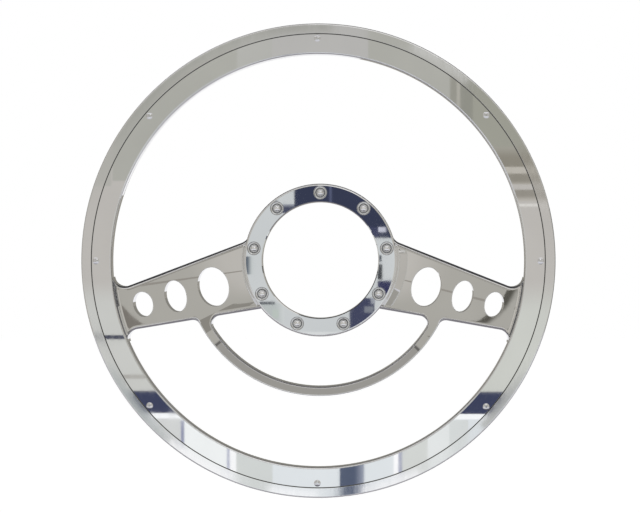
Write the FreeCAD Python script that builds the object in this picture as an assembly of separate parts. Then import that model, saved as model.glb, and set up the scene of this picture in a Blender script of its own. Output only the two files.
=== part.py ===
"""Two-spoke dished steering wheel, machined from aluminium and polished.

The wheel stands as a driver sees it: its axle runs along Y, the driver sits on the -Y side and +Z is up.
The origin is on the axle, in the plane of the hub's back face, where the wheel meets its steering column.
A position in the plane of the wheel is given as (x, z), and a place along the axle as y. A turned profile
is given as (radius, y) corners.
"""
import FreeCAD, Part
import os
from math import cos, hypot, pi, radians, sin, sqrt

# Rim: a flat front plate, and a grip ring that carries it and shows as a band outside it
wheel_d = 355.6
grip_band = 7.8
plate_band = 15.0
plate_t = 8.0
grip_depth = 24.0
grip_side = 5.0
grip_inset = 0.6
grip_edge_round = 1.2
plate_edge_round = 0.9
seam_gap = 0.15
seam_chamfer = 0.35

# Hub: a flat ring with a bore, deeper than the rim face by the dish
dish = 72.0
hub_t = 12.0
hub_d = 121.4
bore_d = 92.2
hub_edge_round = 1.7
bore_chamfer = 0.6

# Spokes: two tapering bars cut from one cone that rises from the hub to the rim
spoke_t = 12.0
hub_step = 2.7
rim_step = 2.9
root_gap = 0.7
root_overlap = 2.0
upper_slope = 22.0
upper_offset = 36.3
lower_slope = 8.3
lower_offset = 31.6
hub_corner_r = 9.0
rim_corner_r = 8.0
lower_hub_corner_r = 1.5
lower_rim_corner_r = 6.5
spoke_edge_round = 3.0

# Half ring under the hub, on the same cone as the spokes
half_ring_r = 98.4
half_ring_w = 6.7
half_ring_corner_r = 6.0
half_ring_edge_round = 0.9

# Widest round on an edge of the half ring, as a share of its width: two of them leave it some flat
widest_round = 0.46

# Three oval holes in each spoke: place along the spoke, and half sizes across and along it
hole_line_slope = 14.0
spoke_holes = ((86.0, 15.5, 11.2), (114.0, 12.3, 7.6), (137.4, 9.6, 6.7))

# Dome-head studs that hold the hub to the column's adapter
stud_count = 9
stud_circle_d = 107.2
stud_d = 4.0
stud_shank_d = 3.5
stud_thread_start = 0.3
stud_gap = 0.15
stud_reach = 12.0
stud_end_chamfer = 0.5
stud_head_d = 6.2
stud_head_side = 0.6
stud_head_proud = 0.3
stud_seat_depth = 1.8
stud_seat_gap = 0.2

# Raised countersunk screws that hold the front plate to the grip ring
rim_screw_turn = 49.2
rim_screw_from_seam = 3.4
rim_screw_d = 2.5
rim_screw_gap = 0.15
rim_screw_head_d = 5.0
rim_screw_dome = 0.6
rim_screw_length = 14.0
rim_screw_socket = 1.5
rim_screw_socket_depth = 1.0
thread_gap = 0.05
drill_past_end = 1.0
hexagon_sides = 6

# Places that follow from the sizes above
wheel_r = wheel_d / 2
seam_r = wheel_r - grip_band
wall_r = seam_r - plate_band
grip_inner_r = wall_r + grip_inset
root_r = grip_inner_r - root_gap
hub_r = hub_d / 2
bore_r = bore_d / 2
half_ring_out_r = half_ring_r + half_ring_w
front_round_r = min(spoke_edge_round, half_ring_w * widest_round)
hub_face_y = -hub_t
rim_face_y = hub_face_y - dish
plate_back_y = rim_face_y + plate_t
grip_back_y = rim_face_y + grip_depth
cone_hub_y = hub_face_y + hub_step
cone_rim_y = rim_face_y + rim_step
cone_slope = (cone_rim_y - cone_hub_y) / (wall_r - hub_r)
spoke_t_along_axle = spoke_t * sqrt(1 + cone_slope ** 2)
stud_r = stud_d / 2
stud_shank_r = stud_shank_d / 2
stud_head_r = stud_head_d / 2
stud_seat_r = stud_head_r + stud_seat_gap
stud_seat_y = hub_face_y + stud_seat_depth
rim_screw_circle_d = 2 * (seam_r - rim_screw_from_seam)
rim_screw_r = rim_screw_d / 2
rim_screw_head_r = rim_screw_head_d / 2

# How far a cutter runs past the faces that it cuts
overrun = 10.0
on_surface = 0.001
ORIGIN = FreeCAD.Vector(0, 0, 0)
AXLE = FreeCAD.Vector(0, 1, 0)


def in_profile(point):
    """Profile corner (radius, y), drawn straight above the axle."""
    return FreeCAD.Vector(0, point[1], point[0])


def profile_line(a, b):
    """Straight stretch of a profile."""
    return Part.LineSegment(in_profile(a), in_profile(b)).toShape()


def profile_arc(a, middle, b):
    """Round stretch of a profile, through its middle."""
    return Part.Arc(in_profile(a), in_profile(middle), in_profile(b)).toShape()


def turned(edges, centre=ORIGIN):
    """Solid turned about the axle, or about a line beside it, from the edges of a profile."""
    face = Part.Face(Part.Wire(edges))
    face.translate(centre)
    return face.revolve(centre, AXLE, 360)


def turned_corners(corners, centre=ORIGIN):
    """Solid turned from a profile of straight stretches."""
    following = corners[1:] + corners[:1]
    return turned([profile_line(a, b) for a, b in zip(corners, following)], centre)


def round_middle(corner, radius, toward_r, toward_y):
    """Middle of a quarter round that cuts off a square corner, on the side that the signs give."""
    cut_back = radius * (1 - sqrt(0.5))
    return (corner[0] + toward_r * cut_back, corner[1] + toward_y * cut_back)


def on_circle(diameter, count, k):
    """Place of one of a number of equal stations on a circle, the first at the top."""
    angle = pi / 2 - 2 * pi * k / count
    return FreeCAD.Vector(diameter / 2 * cos(angle), 0, diameter / 2 * sin(angle))


def stations(diameter, count):
    """All the stations on a circle."""
    return [on_circle(diameter, count, k) for k in range(count)]


def rim_screw_places():
    """Places of the rim screws, clockwise from the top: on both axes, and one in each quarter."""
    turn = rim_screw_turn
    places = []
    for degrees in (0, turn, 90, 180 - turn, 180, 180 + turn, 270, 360 - turn):
        angle = radians(degrees)
        places.append(FreeCAD.Vector(sin(angle), 0, cos(angle)) * (rim_screw_circle_d / 2))
    return places


def cone_front_y(r):
    """Front of the spokes' cone at a radius."""
    return cone_hub_y + cone_slope * (r - hub_r)


def cone_slab():
    """Cone that the spokes and the half ring are cut from, running on into the hub and the rim."""
    inner_r = bore_r
    outer_r = wall_r + overrun
    return turned_corners([
        (inner_r, cone_front_y(inner_r)),
        (outer_r, cone_front_y(outer_r)),
        (outer_r, cone_front_y(outer_r) + spoke_t_along_axle),
        (inner_r, cone_front_y(inner_r) + spoke_t_along_axle),
    ])


def tangent_corner(slope, offset, corner_r, centre_r, circle_r, side):
    """Rounded corner between a spoke's edge and a circle: its points on the circle, half way and on the edge.

    The corner's own centre lies centre_r from the axle, so the round is tangent to the circle too.
    """
    along = (cos(slope), -sin(slope))
    square = (side * sin(slope), side * cos(slope))
    across = offset + corner_r
    run = sqrt(centre_r ** 2 - across ** 2)
    centre = (along[0] * run + square[0] * across, along[1] * run + square[1] * across)
    on_ring = tuple(c * circle_r / centre_r for c in centre)
    on_edge = tuple(c - s * corner_r for c, s in zip(centre, square))
    chord = tuple((a + b) / 2 - c for a, b, c in zip(on_ring, on_edge, centre))
    scale = corner_r / hypot(*chord)
    half_way = tuple(c + d * scale for c, d in zip(centre, chord))
    return on_ring, half_way, on_edge


def window(inner_r, outer_r, slope, offset, inner_corner_r, outer_corner_r, side):
    """Opening through the wheel between two circles and the edges of both spokes.

    The right spoke's edge runs outwards and down at the slope, at the offset from the axle. Side is 1 for
    an opening above the spokes and -1 for one below them.
    """
    slope = radians(slope)
    inner = tangent_corner(slope, offset, inner_corner_r, inner_r + inner_corner_r, inner_r, side)
    outer = tangent_corner(slope, offset, outer_corner_r, outer_r - outer_corner_r, outer_r, side)
    right = [inner, (inner[2], outer[2]), outer[::-1]]
    left = [tuple((-x, z) for x, z in run[::-1]) for run in right[::-1]]
    over_rim = (outer[0], (0.0, side * outer_r), (-outer[0][0], outer[0][1]))
    over_hub = ((-inner[0][0], inner[0][1]), (0.0, side * inner_r), inner[0])
    edges = []
    for run in right + [over_rim] + left + [over_hub]:
        points = [FreeCAD.Vector(x, rim_face_y - overrun, z) for x, z in run]
        curve = Part.LineSegment(*points) if len(points) == 2 else Part.Arc(*points)
        edges.append(curve.toShape())
    return Part.Face(Part.Wire(edges)).extrude(AXLE * (2 * overrun - rim_face_y))


def on_upper_edge(x):
    """Height of the upper edge of the right spoke at x."""
    slope = radians(upper_slope)
    return (upper_offset - x * sin(slope)) / cos(slope)


def front_edges(solid, inner_r, outer_r, side):
    """Numbers of the edges round one window, on the front of the cone, each with its two ends."""
    found = []
    for number, edge in enumerate(solid.Edges, 1):
        first, last = edge.ParameterRange
        a, middle, b = (edge.valueAt(p) for p in (first, (first + last) / 2, last))
        off_cone = max(abs(p.y - cone_front_y(hypot(p.x, p.z))) for p in (a, middle, b))
        middle_r = hypot(middle.x, middle.z)
        above = middle.z > on_upper_edge(abs(middle.x)) - on_surface
        if off_cone > on_surface or above != (side > 0):
            continue
        if inner_r - on_surface < middle_r < outer_r + on_surface:
            found.append((number, a, b))
    return found


def rounded_evenly(solid, inner_r, outer_r, side):
    """Solid with the front edges round one window rounded as the spokes' are."""
    edges = [solid.Edges[number - 1] for number, a, b in front_edges(solid, inner_r, outer_r, side)]
    return solid.makeFillet(front_round_r, edges)


def rounded_to_half_ring(solid):
    """Solid with the front edges round the lowest window rounded.

    The half ring's outer edge gets its own radius, the others get the spokes', and the corner between
    them runs from one to the other.
    """
    def radius_at(point):
        on_ring = abs(hypot(point.x, point.z) - half_ring_out_r) < on_surface
        return half_ring_edge_round if on_ring else front_round_r

    document = FreeCAD.newDocument()
    base = document.addObject("Part::Feature", "sharp")
    base.Shape = solid
    rounds = document.addObject("Part::Fillet", "rounded")
    rounds.Base = base
    edges = front_edges(solid, half_ring_out_r, wall_r, -1)
    rounds.Edges = [(number, radius_at(a), radius_at(b)) for number, a, b in edges]
    document.recompute()
    return rounds.Shape


def oval_hole(side, from_axle, half_across, half_along):
    """Oval hole through a spoke, parallel to the axle. Side is 1 for the right spoke and -1 for the left."""
    slope = radians(hole_line_slope)
    along = FreeCAD.Vector(side * cos(slope), 0, -sin(slope))
    across = FreeCAD.Vector(side * sin(slope), 0, cos(slope))
    centre = along * from_axle + AXLE * (rim_face_y - overrun)
    oval = Part.Ellipse(centre + across * half_across, centre + along * half_along, centre)
    return Part.Face(Part.Wire([oval.toShape()])).extrude(AXLE * (2 * overrun - rim_face_y))


def spoke_room():
    """Room that the spokes fill: up to the grip ring, and a little way into the plate."""
    far_r = wall_r + root_overlap
    middle_of_plate_y = (rim_face_y + plate_back_y) / 2
    return turned_corners([
        (bore_r, 0.0),
        (bore_r, rim_face_y),
        (far_r, rim_face_y),
        (far_r, middle_of_plate_y),
        (root_r, middle_of_plate_y),
        (root_r, 0.0),
    ])


def spokes_and_half_ring():
    """The spokes with their oval holes, and the half ring between them."""
    solid = cone_slab()
    solid = solid.cut(window(hub_r, wall_r, upper_slope, upper_offset, hub_corner_r, rim_corner_r, 1))
    solid = solid.cut(window(hub_r, half_ring_r, lower_slope, lower_offset, lower_hub_corner_r,
                             half_ring_corner_r, -1))
    solid = solid.cut(window(half_ring_out_r, wall_r, lower_slope, lower_offset, half_ring_corner_r,
                             lower_rim_corner_r, -1))
    solid = rounded_to_half_ring(solid)
    solid = rounded_evenly(solid, hub_r, half_ring_r, -1)
    solid = rounded_evenly(solid, hub_r, wall_r, 1)
    solid = solid.common(spoke_room())
    for side in (1, -1):
        for hole in spoke_holes:
            solid = solid.cut(oval_hole(side, *hole))
    return solid


def hub_ring():
    """The hub's ring, with its front edges broken."""
    edge = (hub_r, hub_face_y)
    flat_end = (hub_r - hub_edge_round, hub_face_y)
    side_end = (hub_r, hub_face_y + hub_edge_round)
    return turned([
        profile_line((bore_r, 0.0), (bore_r, hub_face_y + bore_chamfer)),
        profile_line((bore_r, hub_face_y + bore_chamfer), (bore_r + bore_chamfer, hub_face_y)),
        profile_line((bore_r + bore_chamfer, hub_face_y), flat_end),
        profile_arc(flat_end, round_middle(edge, hub_edge_round, -1, 1), side_end),
        profile_line(side_end, (hub_r, 0.0)),
        profile_line((hub_r, 0.0), (bore_r, 0.0)),
    ])


def rim_plate():
    """The flat front of the rim, from the openings to the seam."""
    edge = (wall_r, rim_face_y)
    flat_end = (wall_r + plate_edge_round, rim_face_y)
    side_end = (wall_r, rim_face_y + plate_edge_round)
    return turned([
        profile_line((wall_r, plate_back_y), side_end),
        profile_arc(side_end, round_middle(edge, plate_edge_round, 1, 1), flat_end),
        profile_line(flat_end, (seam_r - seam_chamfer, rim_face_y)),
        profile_line((seam_r - seam_chamfer, rim_face_y), (seam_r, rim_face_y + seam_chamfer)),
        profile_line((seam_r, rim_face_y + seam_chamfer), (seam_r, plate_back_y)),
        profile_line((seam_r, plate_back_y), (wall_r, plate_back_y)),
    ])


def stud_hole(place):
    """Hole for a stud, with the countersink that its head sits in."""
    hole_r = stud_r + stud_gap
    mouth_r = stud_seat_r + stud_seat_depth
    return turned_corners([
        (0.0, overrun),
        (hole_r, overrun),
        (hole_r, stud_seat_y),
        (stud_seat_r, stud_seat_y),
        (mouth_r + overrun, hub_face_y - overrun),
        (0.0, hub_face_y - overrun),
    ], place)


def rim_screw_hole(place):
    """Hole for a rim screw through the plate, with a countersink that fits its head."""
    hole_r = rim_screw_r + rim_screw_gap
    cone_end_y = rim_face_y + rim_screw_head_r - hole_r
    return turned_corners([
        (0.0, plate_back_y + overrun),
        (hole_r, plate_back_y + overrun),
        (hole_r, cone_end_y),
        (rim_screw_head_r + overrun, rim_face_y - overrun),
        (0.0, rim_face_y - overrun),
    ], place)


def wheel_body():
    """Hub, spokes, half ring and rim plate, machined as one piece."""
    solid = spokes_and_half_ring().fuse([hub_ring(), rim_plate()])
    for place in stations(stud_circle_d, stud_count):
        solid = solid.cut(stud_hole(place))
    for place in rim_screw_places():
        solid = solid.cut(rim_screw_hole(place))
    return solid.removeSplitter()


def grip_ring():
    """Outer ring of the rim: rounded behind, and stepped in front to take the plate."""
    step_r = seam_r + seam_gap
    edge = (wheel_r, rim_face_y)
    flat_end = (wheel_r - grip_edge_round, rim_face_y)
    side_end = (wheel_r, rim_face_y + grip_edge_round)
    back_start_y = plate_back_y + grip_side
    back_middle = ((grip_inner_r + wheel_r) / 2, grip_back_y)
    solid = turned([
        profile_line((step_r, plate_back_y), (step_r, rim_face_y + seam_chamfer)),
        profile_line((step_r, rim_face_y + seam_chamfer), (step_r + seam_chamfer, rim_face_y)),
        profile_line((step_r + seam_chamfer, rim_face_y), flat_end),
        profile_arc(flat_end, round_middle(edge, grip_edge_round, -1, 1), side_end),
        profile_line(side_end, (wheel_r, back_start_y)),
        profile_arc((wheel_r, back_start_y), back_middle, (grip_inner_r, back_start_y)),
        profile_line((grip_inner_r, back_start_y), (grip_inner_r, plate_back_y)),
        profile_line((grip_inner_r, plate_back_y), (step_r, plate_back_y)),
    ])
    hole_r = rim_screw_r + thread_gap
    hole_end_y = rim_face_y + rim_screw_length + drill_past_end
    for place in rim_screw_places():
        start = place + AXLE * (plate_back_y - overrun)
        solid = solid.cut(Part.makeCylinder(hole_r, hole_end_y - plate_back_y + overrun, start, AXLE))
    return solid


def hub_stud(place):
    """Stud with a plain dome head, a shank through the hub and a thicker threaded end behind it."""
    side_end_y = stud_seat_y - stud_head_side
    top_y = hub_face_y - stud_head_proud
    dome = side_end_y - top_y
    dome_r = (stud_head_r ** 2 + dome ** 2) / (2 * dome)
    half_r = stud_head_r / 2
    half_y = top_y + dome_r - sqrt(dome_r ** 2 - half_r ** 2)
    return turned([
        profile_line((0.0, stud_reach), (0.0, top_y)),
        profile_arc((0.0, top_y), (half_r, half_y), (stud_head_r, side_end_y)),
        profile_line((stud_head_r, side_end_y), (stud_head_r, stud_seat_y)),
        profile_line((stud_head_r, stud_seat_y), (stud_shank_r, stud_seat_y)),
        profile_line((stud_shank_r, stud_seat_y), (stud_shank_r, stud_thread_start)),
        profile_line((stud_shank_r, stud_thread_start), (stud_r, stud_thread_start)),
        profile_line((stud_r, stud_thread_start), (stud_r, stud_reach - stud_end_chamfer)),
        profile_line((stud_r, stud_reach - stud_end_chamfer), (stud_r - stud_end_chamfer, stud_reach)),
        profile_line((stud_r - stud_end_chamfer, stud_reach), (0.0, stud_reach)),
    ], place)


def rim_screw(place):
    """Screw with a raised countersunk head and a hexagon socket."""
    end_y = rim_face_y + rim_screw_length
    cone_end_y = rim_face_y + rim_screw_head_r - rim_screw_r
    top_y = rim_face_y - rim_screw_dome
    dome_r = (rim_screw_head_r ** 2 + rim_screw_dome ** 2) / (2 * rim_screw_dome)
    half_r = rim_screw_head_r / 2
    half_y = top_y + dome_r - sqrt(dome_r ** 2 - half_r ** 2)
    solid = turned([
        profile_line((0.0, end_y), (0.0, top_y)),
        profile_arc((0.0, top_y), (half_r, half_y), (rim_screw_head_r, rim_face_y)),
        profile_line((rim_screw_head_r, rim_face_y), (rim_screw_r, cone_end_y)),
        profile_line((rim_screw_r, cone_end_y), (rim_screw_r, end_y)),
        profile_line((rim_screw_r, end_y), (0.0, end_y)),
    ], place)
    corner_r = rim_screw_socket / sqrt(3)
    start = place + AXLE * (top_y - overrun)
    corners = []
    for k in range(hexagon_sides + 1):
        angle = 2 * pi * k / hexagon_sides
        corners.append(start + FreeCAD.Vector(corner_r * cos(angle), 0, corner_r * sin(angle)))
    socket = Part.Face(Part.makePolygon(corners)).extrude(AXLE * (overrun + rim_screw_socket_depth))
    return solid.cut(socket)


def parts():
    """Every piece of the wheel, by name."""
    pieces = {"wheel_body": wheel_body(), "grip_ring": grip_ring()}
    for number, place in enumerate(stations(stud_circle_d, stud_count), 1):
        pieces["hub_stud_%d" % number] = hub_stud(place)
    for number, place in enumerate(rim_screw_places(), 1):
        pieces["rim_screw_%d" % number] = rim_screw(place)
    return pieces


def main():
    """Builds the pieces and writes one file for each."""
    os.makedirs("parts", exist_ok=True)
    for name, shape in parts().items():
        solid = shape.Solids[0]
        print(name, len(shape.Solids), solid.isValid(), round(solid.Volume, 1))
        solid.exportStep("parts/%s.step" % name)


if __name__ == "__main__":
    main()
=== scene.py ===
"""Looks of a dished two-spoke steering wheel in polished aluminium.

The wheel stands as a driver sees it: its axle runs along Y, the driver sits on the -Y side and +Z is up.
Shapes are worked out in millimetres in the plan of the wheel, (x, z), with y along the axle, and every mesh
is written in metres with its object at the origin.
"""
import logging
import math
from dataclasses import dataclass, field
from enum import Enum
from typing import Optional, Union

import bpy
import numpy as np
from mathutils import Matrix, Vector
from mathutils.geometry import delaunay_2d_cdt


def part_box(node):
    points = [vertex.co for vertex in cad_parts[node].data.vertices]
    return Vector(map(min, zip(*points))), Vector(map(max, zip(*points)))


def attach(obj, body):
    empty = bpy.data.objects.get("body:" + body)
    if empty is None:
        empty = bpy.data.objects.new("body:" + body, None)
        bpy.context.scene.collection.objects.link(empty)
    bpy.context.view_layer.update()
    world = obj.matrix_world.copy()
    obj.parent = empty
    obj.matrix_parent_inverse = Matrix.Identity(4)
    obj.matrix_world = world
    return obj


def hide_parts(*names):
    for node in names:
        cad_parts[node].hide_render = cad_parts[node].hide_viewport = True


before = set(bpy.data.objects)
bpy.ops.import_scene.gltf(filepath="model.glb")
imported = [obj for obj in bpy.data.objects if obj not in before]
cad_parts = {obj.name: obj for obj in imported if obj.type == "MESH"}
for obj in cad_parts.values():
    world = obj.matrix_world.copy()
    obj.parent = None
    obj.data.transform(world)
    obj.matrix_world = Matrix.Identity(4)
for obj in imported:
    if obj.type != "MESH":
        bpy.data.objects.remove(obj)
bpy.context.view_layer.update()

LOG = logging.getLogger("steering_wheel")
MM = 0.001
BODY = "root"
Array = np.ndarray
Spot = tuple[float, float]
Place = tuple[float, float, float]
Colour = tuple[float, float, float]
Inputs = dict[Union[str, int], object]


class Face(Enum):
    """The two sides of the wheel, with the way along Y that each one looks."""

    FRONT = -1.0
    BACK = 1.0


@dataclass(frozen=True)
class WheelSizes:
    """Sizes of the wheel in millimetres, as its solids have them.

    The outer radius and the plane of the rim's flat face are read from the solids themselves.
    """

    wheel_r: float = round(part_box("grip_ring")[1].x / MM, 3)
    rim_face_y: float = round(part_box("wheel_body")[0].y / MM, 3)
    grip_band: float = 7.8
    plate_band: float = 15.0
    plate_t: float = 8.0
    grip_side: float = 5.0
    grip_inset: float = 0.6
    grip_edge_round: float = 1.2
    plate_edge_round: float = 1.3
    seam_gap: float = 0.15
    seam_chamfer: float = 0.35
    grip_depth: float = 24.0
    hub_t: float = 12.0
    hub_r: float = 60.7
    bore_r: float = 46.1
    hub_edge_round: float = 1.7
    bore_chamfer: float = 0.6
    spoke_t: float = 12.0
    hub_step: float = 2.7
    rim_step: float = 2.9
    spoke_edge_round: float = 3.0
    half_ring_r: float = 98.4
    half_ring_w: float = 6.7
    half_ring_edge_round: float = 0.6
    stud_count: int = 9
    stud_circle_r: float = 53.6
    stud_hole_r: float = 2.15
    stud_seat_r: float = 3.3
    stud_seat_depth: float = 1.8
    rim_screw_turn: float = 49.2
    rim_screw_circle_r: float = 166.6
    rim_screw_head_r: float = 2.5
    rim_screw_hole_r: float = 1.4
    thread_hole_r: float = 1.3
    rim_screw_length: float = 14.0

    @property
    def seam_r(self) -> float:
        """Radius of the seam between plate and grip ring."""
        return self.wheel_r - self.grip_band

    @property
    def wall_r(self) -> float:
        """Radius of the rim's inner wall."""
        return self.seam_r - self.plate_band

    @property
    def plate_back_y(self) -> float:
        """Back of the rim's plate."""
        return self.rim_face_y + self.plate_t

    @property
    def hub_face_y(self) -> float:
        """Plane of the hub's flat face."""
        return -self.hub_t

    @property
    def cone_hub_y(self) -> float:
        """Front of the spokes' cone where it meets the hub."""
        return self.hub_face_y + self.hub_step

    @property
    def cone_rim_y(self) -> float:
        """Front of the spokes' cone where it would meet the rim."""
        return self.rim_face_y + self.rim_step

    @property
    def cone_slope(self) -> float:
        """Rise of the cone towards the driver for each millimetre outwards."""
        return (self.cone_hub_y - self.cone_rim_y) / (self.wall_r - self.hub_r)

    @property
    def half_ring_out_r(self) -> float:
        """Outer radius of the half ring."""
        return self.half_ring_r + self.half_ring_w

    @property
    def stud_mouth_r(self) -> float:
        """Radius of a stud seat's mouth in the hub's face."""
        return self.stud_seat_r + self.stud_seat_depth


SIZES = WheelSizes()


def unit(angle: Array) -> Array:
    """Points on the unit circle: (cos, sin) of each angle.

    Args:
        angle: Angles in radians, of any shape.

    Returns:
        Array with one more axis of two.
    """
    return np.stack([np.cos(angle), np.sin(angle)], axis=-1)


def across(direction: Array) -> Array:
    """Directions turned a quarter turn in the plan.

    Args:
        direction: Plan vectors, (..., 2).

    Returns:
        The turned vectors.
    """
    return np.stack([-direction[..., 1], direction[..., 0]], axis=-1)


def in_space(plan: Array, y: Array) -> Array:
    """Puts plan points or vectors (x, z) and their y together as (x, y, z).

    Args:
        plan: Plan points, (..., 2).
        y: The third coordinate of each.

    Returns:
        Points in space, (..., 3).
    """
    return np.stack([plan[..., 0], np.broadcast_to(y, plan.shape[:-1]), plan[..., 1]], axis=-1)


def add_object(name: str, data: bpy.types.ID) -> bpy.types.Object:
    """Makes an object at the origin and links it to the scene.

    Args:
        name: Name of the object.
        data: Its mesh, camera or lamp.

    Returns:
        The new object.
    """
    made = bpy.data.objects.new(name, data)
    bpy.context.scene.collection.objects.link(made)
    return made


@dataclass
class Skin:
    """Surface of one piece, collected patch by patch, with a normal for each point of each patch."""

    points: list[Array] = field(default_factory=list)
    normals: list[Array] = field(default_factory=list)
    triangles: list[Array] = field(default_factory=list)
    count: int = 0
    weld_mm: float = 1e-4

    def add(self, points: Array, normals: Array, triangles: Array) -> None:
        """Adds a patch of triangles, turned so that each faces the way its normals point.

        Args:
            points: Corner points in millimetres, (n, 3).
            normals: Unit normals at the points, (n, 3).
            triangles: Indices of each triangle's corners, (m, 3).
        """
        if not len(triangles):
            return
        corners = points[triangles]
        facing = np.cross(corners[:, 1] - corners[:, 0], corners[:, 2] - corners[:, 0])
        wrong = (facing * normals[triangles].sum(axis=1)).sum(axis=1) < 0
        triangles = np.where(wrong[:, None], triangles[:, ::-1], triangles)
        self.points.append(points)
        self.normals.append(normals)
        self.triangles.append(triangles + self.count)
        self.count += len(points)

    def add_grid(self, points: Array, normals: Array) -> None:
        """Adds a patch whose points lie on a grid of rows and columns, two triangles to a cell.

        Args:
            points: Grid of points, (rows, columns, 3).
            normals: Their unit normals, of the same shape.
        """
        rows, columns = points.shape[:2]
        index = np.arange(rows * columns).reshape(rows, columns)
        a, b = index[:-1, :-1].ravel(), index[:-1, 1:].ravel()
        c, d = index[1:, 1:].ravel(), index[1:, :-1].ravel()
        cells = np.concatenate([np.stack([a, b, c], axis=1), np.stack([a, c, d], axis=1)])
        self.add(points.reshape(-1, 3), normals.reshape(-1, 3), cells)

    def to_object(self, name: str) -> bpy.types.Object:
        """Welds the patches where their points meet and makes them one mesh object.

        Points of different patches at one place become one vertex, and each corner keeps the normal of its
        own patch, so an edge between two patches stays crisp.

        Args:
            name: Name of the piece.

        Returns:
            The new object, at the origin.
        """
        points = np.concatenate(self.points)
        normals = np.concatenate(self.normals)
        triangles = np.concatenate(self.triangles)
        keys = np.round(points / self.weld_mm).astype(np.int64)
        _, first, where = np.unique(keys, axis=0, return_index=True, return_inverse=True)
        where = where.reshape(-1)
        welded = where[triangles]
        real = ((welded[:, 0] != welded[:, 1]) & (welded[:, 1] != welded[:, 2])
                & (welded[:, 2] != welded[:, 0]))
        welded, corner_normals = welded[real], normals[triangles[real]]
        mesh = bpy.data.meshes.new(name)
        mesh.vertices.add(len(first))
        mesh.vertices.foreach_set("co", (points[first] * MM).astype(np.float32).ravel())
        mesh.loops.add(welded.size)
        mesh.loops.foreach_set("vertex_index", welded.astype(np.int32).ravel())
        mesh.polygons.add(len(welded))
        mesh.polygons.foreach_set("loop_start", np.arange(0, welded.size, 3, dtype=np.int32))
        mesh.update(calc_edges=True)
        mesh.polygons.foreach_set("use_smooth", np.ones(len(welded), dtype=bool))
        lengths = np.linalg.norm(corner_normals, axis=-1, keepdims=True)
        mesh.normals_split_custom_set((corner_normals / lengths).reshape(-1, 3).tolist())
        mesh.validate()
        return add_object(name, mesh)


def fill_plan(points: Array, edges: Array) -> tuple[Array, Array]:
    """Fills the plan with triangles that keep to its outlines' edges.

    Args:
        points: All plan points, (n, 2).
        edges: Index pairs of the outlines' edges, (m, 2).

    Returns:
        The plan points of the filling, and its triangles inside the outlines.
    """
    whole_hull, close = 0, 1e-6
    found = delaunay_2d_cdt([Vector(p) for p in points.tolist()], edges.tolist(), [], whole_hull, close, True)
    plan = np.array([points[ids[0]] if ids else tuple(v) for v, ids in zip(found[0], found[3])])
    triangles = np.array(found[2])
    middles = plan[triangles].mean(axis=1)
    return plan, triangles[inside_edges(middles, points[edges])]


def inside_edges(p: Array, edges: Array) -> Array:
    """Whether plan points lie inside outlines: a ray to the right crosses their edges an odd number of times.

    Args:
        p: Plan points, (n, 2).
        edges: End points of all the edges, (m, 2, 2).

    Returns:
        One truth value for each point.
    """
    odd = np.zeros(len(p), dtype=bool)
    order, part_size = np.argsort(p[:, 1]), 300
    for part in np.array_split(order, max(1, len(p) // part_size)):
        q = p[part]
        low, high = q[:, 1].min(), q[:, 1].max()
        near = (edges[:, :, 1].min(axis=1) <= high) & (edges[:, :, 1].max(axis=1) >= low)
        a, b = edges[near, 0], edges[near, 1]
        spans = (a[None, :, 1] > q[:, None, 1]) != (b[None, :, 1] > q[:, None, 1])
        rise = np.where(b[:, 1] == a[:, 1], 1.0, b[:, 1] - a[:, 1])
        crossing = a[:, 0] + (q[:, None, 1] - a[:, 1]) * (b[:, 0] - a[:, 0]) / rise
        odd[part] = (spans & (crossing > q[:, None, 0])).sum(axis=1) % 2 == 1
    return odd


def chain(start: int, count: int, closed: bool) -> Array:
    """Index pairs of a row of points joined one to the next.

    Args:
        start: Index of the first point.
        count: Number of points.
        closed: Whether the last one joins the first.

    Returns:
        Pairs of indices, (m, 2).
    """
    index = np.arange(count)
    pairs = np.stack([index, np.roll(index, -1)], axis=1) + start
    return pairs if closed else pairs[:-1]


def join_rows(rows: list[tuple[Array, bool]]) -> tuple[Array, Array]:
    """Puts rows of plan points together.

    Args:
        rows: Rows of plan points, each with whether it closes.

    Returns:
        All the points, and the index pairs of the rows' edges.
    """
    starts = np.cumsum([0] + [len(p) for p, _ in rows])
    edges = [chain(start, len(p), closed) for start, (p, closed) in zip(starts, rows)]
    return np.concatenate([p for p, _ in rows]), np.concatenate(edges)


def turned(skin: Skin, radius: Array, y: Array, normal: Array, angles: Array,
           centre: Spot = (0.0, 0.0)) -> None:
    """Adds a surface turned about the axle or a line beside it.

    Each point of the profile (radius, y) is carried round its centre through all the angles.

    Args:
        skin: Where the surface goes.
        radius: Profile's distance from the centre.
        y: Profile's place along the axle.
        normal: Profile's normals (outwards, along the axle), (n, 2).
        angles: Angles in radians, the last equal to the first plus a full turn.
        centre: Plan point that it is turned about.
    """
    way = unit(angles)[None, :, :]
    plan = radius[:, None, None] * way + np.array(centre)
    along = np.broadcast_to(y[:, None], plan.shape[:2])
    normals = in_space(normal[:, None, :1] * way, np.broadcast_to(normal[:, None, 1], plan.shape[:2]))
    skin.add_grid(in_space(plan, along), normals)


def turned_line(skin: Skin, a: Spot, b: Spot, side: float, angles: Array, centre: Spot = (0.0, 0.0),
                steps: int = 1) -> None:
    """Adds the surface turned from a straight stretch of a profile.

    Args:
        skin: Where the surface goes.
        a: First corner (radius, y).
        b: Second corner (radius, y).
        side: 1 if the outside is to the left of the way from a to b, with y up, and -1 if to the right.
        angles: Angles in radians.
        centre: Plan point that it is turned about.
        steps: Number of strips.
    """
    t = np.linspace(0.0, 1.0, steps + 1)
    radius = a[0] + t * (b[0] - a[0])
    y = a[1] + t * (b[1] - a[1])
    way = np.array([-(b[1] - a[1]), b[0] - a[0]]) * side
    normal = np.tile(way / np.hypot(*way), (len(t), 1))
    turned(skin, radius, y, normal, angles, centre)


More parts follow.
